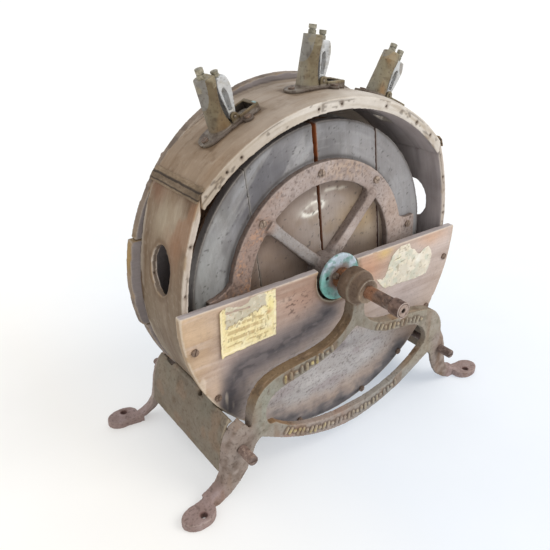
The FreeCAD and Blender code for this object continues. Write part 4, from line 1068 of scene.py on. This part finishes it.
def frame_piece(end_name):
    is_front = end_name == "front"
    skin = cast_skin(end_name + "_frame", 0.0010, 600 if is_front else 640,
                     extra=relief() if is_front else ())
    noise, patch = fields(skin.pos)
    x, y, z = skin.mm
    outward = FRONT if is_front else -FRONT
    out_y = y * outward[1]
    broad, mid = noise(26, 603), noise(80, 604)
    face = skin.facing(outward, 0.55, 0.9)
    top = (1 - face) * skin.facing(UP, 0, 0.6)
    bow = ease(66 - z, 0, 16) * (np.abs(x) < 140)
    leg = ease(np.abs(x), 138, 156) * ease(110 - z, 0, 30)
    foot = ease(34 - z, 0, 22) * ease(np.abs(x), 180, 196)
    hole = 1 - ease(np.hypot(np.abs(x) - 222, out_y - 104), 3.6, 6.0)
    r = np.hypot(x, z - SHAFT_Z)
    boss = 1 - ease(r, 20, 25)
    coat = lay(
        srgb(134, 124, 110),
        ((144, 139, 127), 0.85 * face),
        ((158, 148, 130), 0.6 * face * ease(x + 20 * broad, 0, 60)),
        ((164, 154, 143), 0.5 * face * ease(broad, 0, 0.4)),
        ((120, 112, 95), 0.6 * face * ease(mid, 0.05, 0.5)),
        ((158, 164, 152), 0.5 * face * blob(x, z, -128, 110, 22, 30)),
        # upward surfaces
        ((124, 102, 76), 0.9 * top * ease(-x, -20, 10)),
        ((136, 124, 108), 0.9 * top * ease(x, -10, 20)),
        ((156, 122, 88), 0.6 * top * ease(broad + 0.5 * mid, 0, 0.45)),
        ((172, 146, 120), 0.5 * top * patch([40, 220, 40], 609, 0.12, 0.4)),
        ((98, 82, 66), 0.6 * top * ease(mid, 0.1, 0.5)),
        # lower bow, legs and feet
        ((166, 151, 143), 0.75 * bow),
        ((160, 128, 112), 0.6 * bow * ease(broad + 0.4 * mid, 0.05, 0.4) * ease(-x, -30, 30)),
        ((150, 151, 145), 0.70 * bow * ease(x + 40 * broad, -20, 60)),
        ((150, 134, 126), 0.75 * leg),
        ((112, 96, 84), 0.7 * leg * ease(mid, 0, 0.45)),
        ((164, 152, 144), 0.5 * leg * patch(50, 606, 0.1, 0.4)),
        ((148, 126, 121), 0.85 * foot),
        ((166, 148, 145), 0.5 * foot * patch(70, 610, 0, 0.4)),
        ((98, 62, 54), 0.7 * hole * foot),
        ((110, 90, 74), 0.85 * boss),
        ((140, 122, 106), 0.60 * boss * ease(mid, 0.05, 0.4)),
        ((90, 72, 58), 0.6 * boss * ease(-mid, 0.1, 0.4)),
        ((176, 166, 152), 0.5 * boss * ease(skin.wear, 0.1, 0.5)),
        # boss painted to look flared: painted shade over its back part and in a hollow behind the
        # nose, painted highlights on its lip and on the ring at the shaft
        ((78, 60, 48), 0.70 * boss * (1 - ease(out_y, 78, 88))),
        ((92, 74, 60), 0.70 * boss * ease(out_y, 95.5, 98) * (1 - ease(out_y, 101, 104))),
        ((152, 142, 126), 0.75 * boss * bell(out_y - 94.2, 1.7) * ease(broad, -0.5, 0.2)),
        ((158, 140, 120), 0.80 * boss * ease(out_y, 104.5, 107) * ease(broad, -0.5, 0.2)),
        ((96, 78, 60), 0.7 * blob(x, z, 4, 176, 26, 22) * (1 - face)))
    if is_front:
        # painted highlights on the raised ornament, yellow ochre in patches at the left, and
        # painted shade round its foot and in the hollows of the face
        zone = (r > 24) * (np.abs(x) < 132)
        proud = ease(-y - 95.5, 0, 1.2) * zone
        near = ease(-y - 94.9, 0, 0.5) * (1 - proud) * zone
        coat = lay(
            coat,
            ((176, 160, 132), 0.6 * proud * ease(mid, -0.4, 0.3)),
            ((196, 178, 108), 0.6 * proud * patch(60, 607, 0.15, 0.45, 2) * (x < 0)),
            ((88, 70, 56), 0.75 * near * face),
            ((84, 66, 52), 0.75 * ease(skin.cav, 0.08, 0.4) * face))
    coat = lay(
        coat,
        ((122, 90, 60), 0.45 * patch([60, 60, 8], 608, 0.12, 0.5) * face),
        ((196, 186, 168), 0.55 * ease(skin.wear, 0.25, 0.8)),
        ((0.45, 0.38, 0.32), 0.8 * ease(skin.cav, 0.15, 0.7), TINT),
        ((80, 64, 52), 0.45 * skin.pit))
    finish(end_name + "_frame_casting", skin, end_name + "_frame", IRON_ROUGH, coat,
           0.68 + 0.12 * mid, skin.move)


def saddle_piece(side_name):
    skin = cast_skin(side_name + "_saddle", 0.0013, 700 if side_name == "left" else 720,
                     rough=1.1)
    noise, patch = fields(skin.pos)
    broad, mid = noise(22, 703), noise(80, 704)
    coat = lay(
        srgb(120, 109, 94),
        ((134, 121, 103), 0.6 * ease(broad, -0.1, 0.45)),
        ((104, 86, 66), 0.35 * ease(mid, 0.05, 0.5)),
        ((138, 110, 86), 0.35 * patch(48, 705, 0.15, 0.5)),
        ((116, 113, 99), 0.45 * patch(24, 706, 0, 0.5)),
        ((186, 172, 150), 0.5 * ease(skin.wear, 0.25, 0.8)),
        ((0.45, 0.38, 0.32), 0.8 * ease(skin.cav, 0.15, 0.7), TINT),
        ((76, 62, 50), 0.45 * skin.pit))
    finish(side_name + "_saddle_casting", skin, side_name + "_saddle", IRON_ROUGH, coat,
           0.70 + 0.1 * mid, skin.move)


# ---------------------------------------------------------------- knife holders
def holder_axes(skin, degrees):
    """Coordinates in mm along the arch, across it and out from the drum, for a holder."""
    angle = math.radians(degrees)
    x, y, z = skin.mm
    z = z - ARCH_Z
    return (x * math.cos(angle) - z * math.sin(angle), y,
            x * math.sin(angle) + z * math.cos(angle) - ARCH_R)


def holder_piece(name, degrees, seed):
    skin = cast_skin(name + "_holder_body", 0.0006, seed, rough=0.75)
    noise, patch = fields(skin.pos)
    along, across, out = holder_axes(skin, degrees)
    is_left = name == "left"
    broad, mid = noise(45, seed + 3), noise(120, seed + 4)
    hollow = (out > 3) & (np.hypot(along + 9, across) < 9.6)
    flange = 1 - ease(out, 3.2, 5.5)
    mouth = (along > 10.4) & (along < 29.6) & (np.abs(across) < 10.6) & (out < 6.0)
    coat = lay(
        srgb(100, 86, 62) if is_left else srgb(122, 110, 84),
        ((124, 112, 86) if is_left else (142, 132, 108), 0.6 * ease(broad, -0.05, 0.4)),
        ((88, 70, 46) if is_left else (104, 88, 62), 0.6 * ease(mid, 0, 0.45)),
        ((150, 116, 76),
         (0.75 if name == "right" else 0.35) * patch([50, 50, 16], seed + 6, 0.05, 0.45)),
        # painted highlight down the left side of the tube, broken up by noise
        ((152, 152, 142), (0.10 if is_left else 0.35) * ease(-along - 9, 0, 11)
         * patch([60, 60, 20], seed + 7, -0.3, 0.3)),
        ((100, 82, 56), 0.6 * blob(along, out, -3, 26, 6, 22) * (out > 4)),
        ((132, 130, 126), 0.7 * hollow),
        ((92, 84, 74), 0.5 * hollow * ease(mid, -0.1, 0.4)),
        ((166, 156, 130), 0.5 * (out > 44) * ease(mid, -0.2, 0.3)),
        # the flange on the arch, with painted shade filling its mouth opening
        ((108, 96, 84), 0.85 * flange),
        ((142, 134, 124), 0.55 * flange * patch(70, seed + 8, 0.05, 0.4)),
        ((84, 70, 60), 0.65 * flange * ease(mid, 0.05, 0.45)),
        ((88, 74, 66), 0.6 * flange * ease(np.abs(across), 11, 15)),
        ((52, 44, 38), 0.9 * mouth),
        ((150, 184, 184), 0.75 * (along > 30.5) * (out > 3.5) * ease(mid, 0, 0.3) * is_left),
        ((208, 196, 166), 0.6 * ease(skin.wear, 0.25, 0.8)),
        ((0.45, 0.38, 0.32), 0.8 * ease(skin.cav, 0.15, 0.7), TINT),
        ((74, 58, 44), 0.4 * skin.pit))
    finish(name + "_knife_holder", skin, name + "_holder_body", BRONZE, coat,
           0.52 + 0.14 * mid, skin.move)


def jaw_piece(name, degrees, seed):
    skin = cast_skin(name + "_holder_jaw", 0.0006, seed, passes=4, rough=0.8)
    noise, patch = fields(skin.pos)
    out = holder_axes(skin, degrees)[2]
    broad, mid = noise(55, seed + 3), noise(150, seed + 4)
    coat = lay(
        srgb(196, 197, 197),
        ((164, 164, 163), 0.7 * ease(broad, 0, 0.4)),
        ((168, 162, 148), 0.5 * ease(mid, 0.1, 0.45)),
        ((124, 112, 98), 0.6 * ease(12 - out + 4 * broad, 0, 9)),
        ((206, 206, 206), 0.6 * patch([30, 30, 90], seed + 6, 0, 0.4)),
        ((120, 104, 84), 0.5 * patch(90, seed + 5, 0.25, 0.5)),
        ((206, 200, 186), 0.6 * ease(skin.wear, 0.25, 0.8)),
        ((0.5, 0.44, 0.4), 0.7 * ease(skin.cav, 0.15, 0.7), TINT),
        ((84, 74, 64), 0.4 * skin.pit))
    finish(name + "_sprung_jaw", skin, name + "_holder_jaw", BRONZE, coat, 0.55 + 0.12 * mid,
           skin.move)


# ---------------------------------------------------------------- pads: leather-faced felt rings
def pad_piece(end_name):
    skin = open_skin(end_name + "_pad", 0.0022, passes=6)
    noise, patch = fields(skin.pos)
    x, y, z = skin.mm
    r, angle = np.hypot(x, z - SHAFT_Z), np.arctan2(z - SHAFT_Z, x)
    crown = np.clip(1 - ((r - 117) / 55) ** 2, 0, 1)
    face = skin.facing(-FRONT if end_name == "front" else FRONT, 0.4, 0.9)
    stitch = bell(r - 166, 1.6) * (0.6 + 0.4 * np.cos(angle * 150))
    move = -0.8e-3 * (1 - crown) * face + 0.25e-3 * noise(60, 800) - 0.7e-3 * stitch * face
    scuff = fbm(np.c_[r * 0.3, angle * 8, 0 * r], 802)
    coat = lay(
        srgb(104, 78, 58),
        ((72, 56, 44), 0.7 * patch(30, 801, -0.1, 0.4)),
        ((140, 116, 92), 0.5 * ease(scuff, 0, 0.4)))
    finish(end_name + "_leather_pad", skin, end_name + "_pad", WOOD_GREY, coat, 0.72, move,
           np.c_[angle * 0.117, y * MM, r * MM])


# ---------------------------------------------------------------- torn paper labels
LABEL_STEP, LABEL_Y, PAPER_T = 0.7, -58.05, 0.32   # grid step, back of the paper, thickness
# x, z round each label
LEFT_OUTLINE = [
    (-165, 218.5), (-158, 221.5), (-152, 222.5), (-146, 219.5), (-137, 217.5), (-129, 219),
    (-125, 223.5), (-113, 224.2), (-91.3, 224.2), (-91.3, 194), (-91, 164.3), (-110, 164.5),
    (-129, 164), (-147, 163.6), (-165, 163.2), (-165.3, 190)]
RIGHT_OUTLINE = [
    (65, 186), (75, 183.5), (81, 185), (83, 192), (85, 199), (90, 212), (98, 218), (106, 222),
    (114, 221), (122, 221), (125, 214), (133, 210.5), (138, 205), (142, 200), (146, 203),
    (151, 205), (161, 208), (166, 200), (169, 190), (168, 183), (166, 176), (161, 166),
    (150, 165), (141, 164.5), (123, 165.5), (104, 166.5), (90, 167.5), (81, 167.5), (73, 176)]


def flat_points(x, z):
    return np.c_[x, 0 * x, z]


def inside_outline(x, z, outline):
    inside = np.zeros(len(x), bool)
    for (x1, z1), (x2, z2) in zip(outline, outline[1:] + outline[:1]):
        if z1 != z2:
            inside ^= ((z1 > z) != (z2 > z)) & (x < (x2 - x1) * (z - z1) / (z2 - z1) + x1)
    return inside


def face_edges(face):
    return zip(face, face[1:] + face[:1])


def label_piece(name, outline, lift, paint, seed, ragged, slit=None):
    """Paper sheet cut from a grid by a ragged outline, lifted off the board by lift(x, z)."""
    xs, zs = np.array(outline).T
    grid_x = np.arange(xs.min() - 3, xs.max() + 3, LABEL_STEP)
    grid_z = np.arange(zs.min() - 3, zs.max() + 3, LABEL_STEP)
    x, z = (a.ravel() for a in np.meshgrid(grid_x, grid_z, indexing="ij"))
    points = flat_points(x, z)
    keep = inside_outline(x + fbm(points * 0.16, seed) * ragged,
                          z + fbm(points * 0.16 + 9, seed + 1) * ragged, outline)
    if slit:
        keep &= ~slit(x, z)
    keep = keep.reshape(len(grid_x), len(grid_z))
    cells = keep[:-1, :-1] & keep[1:, :-1] & keep[:-1, 1:] & keep[1:, 1:]
    index, faces, verts = {}, [], []
    for i, j in zip(*np.nonzero(cells)):
        face = []
        for key in ((i, j), (i + 1, j), (i + 1, j + 1), (i, j + 1)):
            if key not in index:
                index[key] = len(verts)
                verts.append((grid_x[key[0]], grid_z[key[1]]))
            face.append(index[key])
        faces.append(face)
    verts = np.array(verts)
    uses = {}
    for face in faces:
        for a, b in face_edges(face):
            key = (min(a, b), max(a, b))
            uses[key] = uses.get(key, 0) + 1
    # loosen the stepped outline
    neighbours = {}
    for (a, b), count in uses.items():
        if count == 1:
            neighbours.setdefault(a, []).append(b)
            neighbours.setdefault(b, []).append(a)
    for _ in range(3):
        moved = verts.copy()
        for a, others in neighbours.items():
            moved[a] = 0.5 * verts[a] + 0.5 * verts[others].mean(0)
        verts = moved
    # front sheet, back sheet and the wall between them
    n = len(verts)
    x, z = verts.T
    back_y = LABEL_Y - lift(x, z)
    sheet = np.r_[np.c_[x, back_y - PAPER_T, z] * MM, np.c_[x, back_y, z] * MM]
    walls = [[b, a, a + n, b + n] for face in faces for a, b in face_edges(face)
             if uses[(min(a, b), max(a, b))] == 1]
    mesh = mesh_from(sheet, faces + [[i + n for i in face[::-1]] for face in faces] + walls)
    bm = bmesh.new()
    bm.from_mesh(mesh)
    bmesh.ops.recalc_face_normals(bm, faces=bm.faces)
    bm.to_mesh(mesh)
    bm.free()
    skin = Skin(mesh)
    x, _, z = skin.mm
    finish(name + "_torn_label", skin, name + "_label", PAPER, paint(x, z), 0.85)


def lift_left(x, z):
    ripple = np.clip(fbm(flat_points(x, z) * 0.09, 901, octaves=2), 0, 1)
    return (2.4 * ease(-x, 158, 166) ** 1.5 + 1.2 * ease(168 - z, 0, 6) * ease(-x, 100, 160)
            + 0.25 * ripple)


def lift_right(x, z):
    ripple = np.clip(fbm(flat_points(x, z) * 0.09, 911, octaves=2), 0, 1)
    return 0.9 * ease(x, 150, 172) * ease(z, 195, 222) + 0.3 * ripple


def slit_left(x, z):
    noise, _ = fields(flat_points(x, z))
    offset = np.abs(z - 213.5 + 0.10 * (x + 140) - 2.2 * noise(0.07, 902))
    return (offset < 0.75 + 0.8 * noise(0.25, 903)) & (x > -156) & (x < -126)


def paint_left(x, z):
    points = flat_points(x, z)
    noise, patch = fields(points)
    broad, mid = noise(0.07, 902), noise(0.25, 903)
    # the printed face is torn off along the top, down to the grey backing
    tear = 203 + 0.20 * (x + 128) + 4.5 * mid + 2.0 * broad
    bare = (ease(z - tear, -0.4, 0.8) * (1 - ease(x + 2.5 * mid, -107, -105))
            * (1 - ease(-x + 2 * mid, 156, 158)))
    # plain rules, worn and broken: height, half width
    rule_zone = ((x > -155 + 3 * mid) * (x < -101 + 3 * mid)
                 * patch([0.55, 1, 0.2], 907, -0.5, 0, 2))
    rules = [((168, 140, 96), 0.62 * rule_zone
              * (1 - ease(np.abs(z - height - 0.5 * broad), half * 0.75, half * 1.25)))
             for height, half in ((197, 1.7), (189.5, 2.3), (181.0, 2.3), (173.5, 0.8))]
    border = np.minimum(np.minimum(x + 165, -91 - x), np.minimum(z - 164, 224 - z))
    return lay(
        srgb(234, 220, 172),
        ((232, 224, 192), 0.8 * ease(broad, 0, 0.4)),
        ((204, 190, 150), 0.55 * ease(mid, 0.05, 0.45)),
        *rules,
        ((240, 226, 150), 0.6 * blob(x, z, -99, 206, 6, 14)),
        ((190, 182, 164), 0.92 * bare),
        ((226, 220, 204), 0.5 * bare * ease(mid, 0, 0.4)),
        ((120, 104, 86), 0.7 * (1 - ease(np.abs(z - tear), 0.3, 1.1)) * (x > -156) * (x < -107)),
        ((214, 172, 130), 0.35 * patch(0.8, 904, 0.3, 0.6, 2)),
        ((176, 120, 92), 0.6 * blob(x, z, -101, 199, 3.5, 3)),
        ((242, 230, 198), 0.6 * (1 - ease(np.abs(border - 2.2), 0.3, 1.6)) * (1 - bare)),
        ((112, 90, 66), 0.45 * ease(value_noise(points * 0.35, 905), 0.66, 0.82)))


def paint_right(x, z):
    points = flat_points(x, z)
    noise, patch = fields(points)
    broad, mid = noise(0.07, 912), noise(0.22, 913)
    cream = blob(x, z, 100, 210, 18, 22) + blob(x, z, 80, 176, 18, 14)
    # thin sloping rules: height, left end, right end
    half = 0.7
    rules = [((116, 104, 78), 0.7 * (x > start) * (x < end) * ease(mid, -0.2, 0.2)
              * (1 - ease(np.abs(z - (height + 0.10 * (x - 110)) + 0.6 * broad),
                          half * 0.6, half * 1.2)))
             for height, start, end in ((213, 97, 118), (206, 94, 120), (199, 92, 118))]
    return lay(
        srgb(226, 217, 200),
        ((206, 199, 184), 0.7 * ease(broad, -0.1, 0.35)),
        ((232, 226, 196), 0.7 * ease(mid, 0, 0.35) * np.clip(cream, 0, 1)),
        ((196, 200, 186), 0.6 * patch(0.12, 917, 0, 0.4)),
        ((238, 236, 226), 0.75 * blob(x, z, 141, 194, 5, 8)),
        *rules,
        ((140, 124, 100), 0.45 * ease(value_noise(points * 0.3, 915), 0.66, 0.82)))


# ---------------------------------------------------------------- build the pieces
arch_piece()
panel_piece("left", -1)
panel_piece("right", 1)
front_board_piece()
for i, part in enumerate(("lower", "middle", "upper")):
    rear_board_piece(part, 330 + 12 * i)
for i in (1, 2, 3, 4):
    disc_board_piece(i)
spider_piece()
flange_piece()
shaft_piece()
sleeve_piece()
for end_name in ("front", "rear"):
    collar_piece(end_name)
    frame_piece(end_name)
    pad_piece(end_name)
for side_name in ("left", "right"):
    saddle_piece(side_name)
for i, (name, degrees) in enumerate(HOLDERS):
    holder_piece(name, degrees, 850 + 20 * i)
    jaw_piece(name, degrees, 861 + 20 * i)
label_piece("left", LEFT_OUTLINE, lift_left, paint_left, seed=906, ragged=0.7, slit=slit_left)
label_piece("right", RIGHT_OUTLINE, lift_right, paint_right, seed=916, ragged=1.5)


# ---------------------------------------------------------------- CAD nodes that stay
# name: dark, middle and pale tones, metallic, roughness, noise scale
METALS = {
    "screw_iron": (((70, 58, 50), (104, 88, 78), (136, 116, 100)), 0.35, 0.6, 300),
    "spider_screw_iron": (((84, 74, 68), (122, 108, 98), (160, 146, 134)), 0.35, 0.55, 300),
    "tie_rod_rust": (((76, 62, 56), (104, 88, 82), (138, 122, 114)), 0.2, 0.7, 240),
    "pin_steel": (((92, 84, 76), (130, 120, 108), (160, 150, 136)), 0.6, 0.45, 300),
    "post_pale_metal": (((92, 88, 76), (128, 124, 110), (164, 160, 148)), 0.35, 0.5, 260),
    "rear_spider_iron": (((104, 88, 78), (140, 124, 114), (166, 150, 140)), 0.15, 0.7, 90)}
SCREW, SPIDER_SCREW, ROD, PIN, POST, REAR_SPIDER = [
    cad_metal(name, *values) for name, values in METALS.items()]
DISC = coord_wood("rear_disc_wood", ((112, 104, 98), (146, 142, 136), (168, 164, 158)),
                  (40, 40, 6)).mat
STRIP = strip_material()

KEPT = {"front_board_screws": SCREW, "rear_board_screws": SCREW, "left_saddle_screws": SCREW,
        "right_saddle_screws": SCREW, "front_spider_screws": SPIDER_SCREW,
        "rear_spider_screws": SPIDER_SCREW, "left_tie_rod": ROD, "right_tie_rod": ROD,
        "tie_rod_nuts": ROD, "collar_set_screws": SCREW, "rear_spider": REAR_SPIDER,
        "left_corner_strip": STRIP, "right_corner_strip": STRIP}
for i in (1, 2, 3, 4):
    KEPT["rear_disc_board_%d" % i] = DISC
for name, _ in HOLDERS:
    KEPT[name + "_holder_pin"] = PIN
    KEPT[name + "_holder_screws"] = SCREW
    KEPT[name + "_cap_post"] = POST
    KEPT[name + "_jaw_post"] = POST


def dress_node(node, material):
    """Give a CAD node its material and softened edges."""
    ob = NODES[node]
    ob.data.materials.clear()
    ob.data.materials.append(material)
    ob.modifiers.new("weld", "WELD").merge_threshold = 1e-6
    bevel = ob.modifiers.new("bevel", "BEVEL")
    bevel.width = 0.0006 if "disc" in node else 0.00035
    bevel.segments = 2
    bevel.limit_method = "ANGLE"
    bevel.angle_limit = math.radians(35)
    bevel.harden_normals = False
    ob.modifiers.new("wn", "WEIGHTED_NORMAL").keep_sharp = False


for node, material in KEPT.items():
    dress_node(node, material)


# ---------------------------------------------------------------- studio
FLOOR_HALF, FLOOR_Z = 20, -0.0002
CAMERA_PLACE = (-0.42808, -0.50904, 0.5264)
CAMERA_AIM = (0.5318, 0.7152, -0.4535)
SUN_FROM = (0.55, -0.62, 0.75)


def floor_material():
    """Pale paper with a faint glow; near the drum the glow is a little dimmer, warmer at the left
    and cooler at the right, a painted shade.
    """
    t = Tree("studio_paper")
    coords = t.object_coords()
    mottle = t.noise(coords, scale=6, detail=3, rough=0.5)
    length = t.node("ShaderNodeVectorMath", operation="LENGTH")
    t.feed(length.inputs[0], coords)
    distance = length.outputs["Value"]
    reach = (0.30, 1.3)
    far = t.remap(distance, reach)
    cool = t.remap(t.split(coords)[0], (-0.28, -0.02))
    t.set(Base_Color=t.mix(t.remap(mottle, (0.3, 0.7)), (0.50, 0.495, 0.485),
                           (0.52, 0.515, 0.505)),
          Roughness=0.95, Specular_IOR_Level=0.1,
          Emission_Color=t.mix(far, t.mix(cool, (1.04, 1.0, 0.93), (0.86, 0.96, 1.10)),
                               (1.0, 0.99, 0.97)),
          Emission_Strength=t.remap(distance, reach, to=(0.42, 0.46)))
    return t.mat


def add_floor(scene):
    h = FLOOR_HALF
    mesh = mesh_from([(-h, -h, 0), (h, -h, 0), (h, h, 0), (-h, h, 0)], [[0, 1, 2, 3]], "floor")
    floor = bpy.data.objects.new("studio_floor", mesh)
    floor.location.z = FLOOR_Z
    scene.collection.objects.link(floor)
    mesh.materials.append(floor_material())


def add_lights(scene):
    world = bpy.data.worlds.new("studio")
    scene.world = world
    world.use_nodes = True
    background = world.node_tree.nodes["Background"]
    background.inputs["Color"].default_value = (0.955, 0.975, 1.0, 1)
    background.inputs["Strength"].default_value = 1.0
    light = bpy.data.lights.new("sun", "SUN")
    light.energy = 1.1
    light.angle = math.radians(32)
    light.color = (1.0, 0.97, 0.92)
    sun = bpy.data.objects.new("sun", light)
    sun.rotation_euler = Vector(SUN_FROM).to_track_quat("Z", "Y").to_euler()
    scene.collection.objects.link(sun)


def add_camera(scene):
    lens = bpy.data.cameras.new("camera")
    lens.lens = 38.635
    lens.sensor_width = 36.0
    lens.clip_start = 0.01
    lens.clip_end = 100
    camera = bpy.data.objects.new("camera", lens)
    aim = Vector(CAMERA_AIM).normalized()
    right = aim.cross(Vector((0, 0, 1))).normalized()
    up = right.cross(aim).normalized()
    rows = [(right[i], up[i], -aim[i], CAMERA_PLACE[i]) for i in range(3)]
    camera.matrix_world = Matrix((*rows, (0, 0, 0, 1)))
    scene.collection.objects.link(camera)
    scene.camera = camera


scene = bpy.context.scene
add_floor(scene)
add_lights(scene)
add_camera(scene)
scene.view_settings.view_transform = "Standard"
scene.view_settings.look = "None"
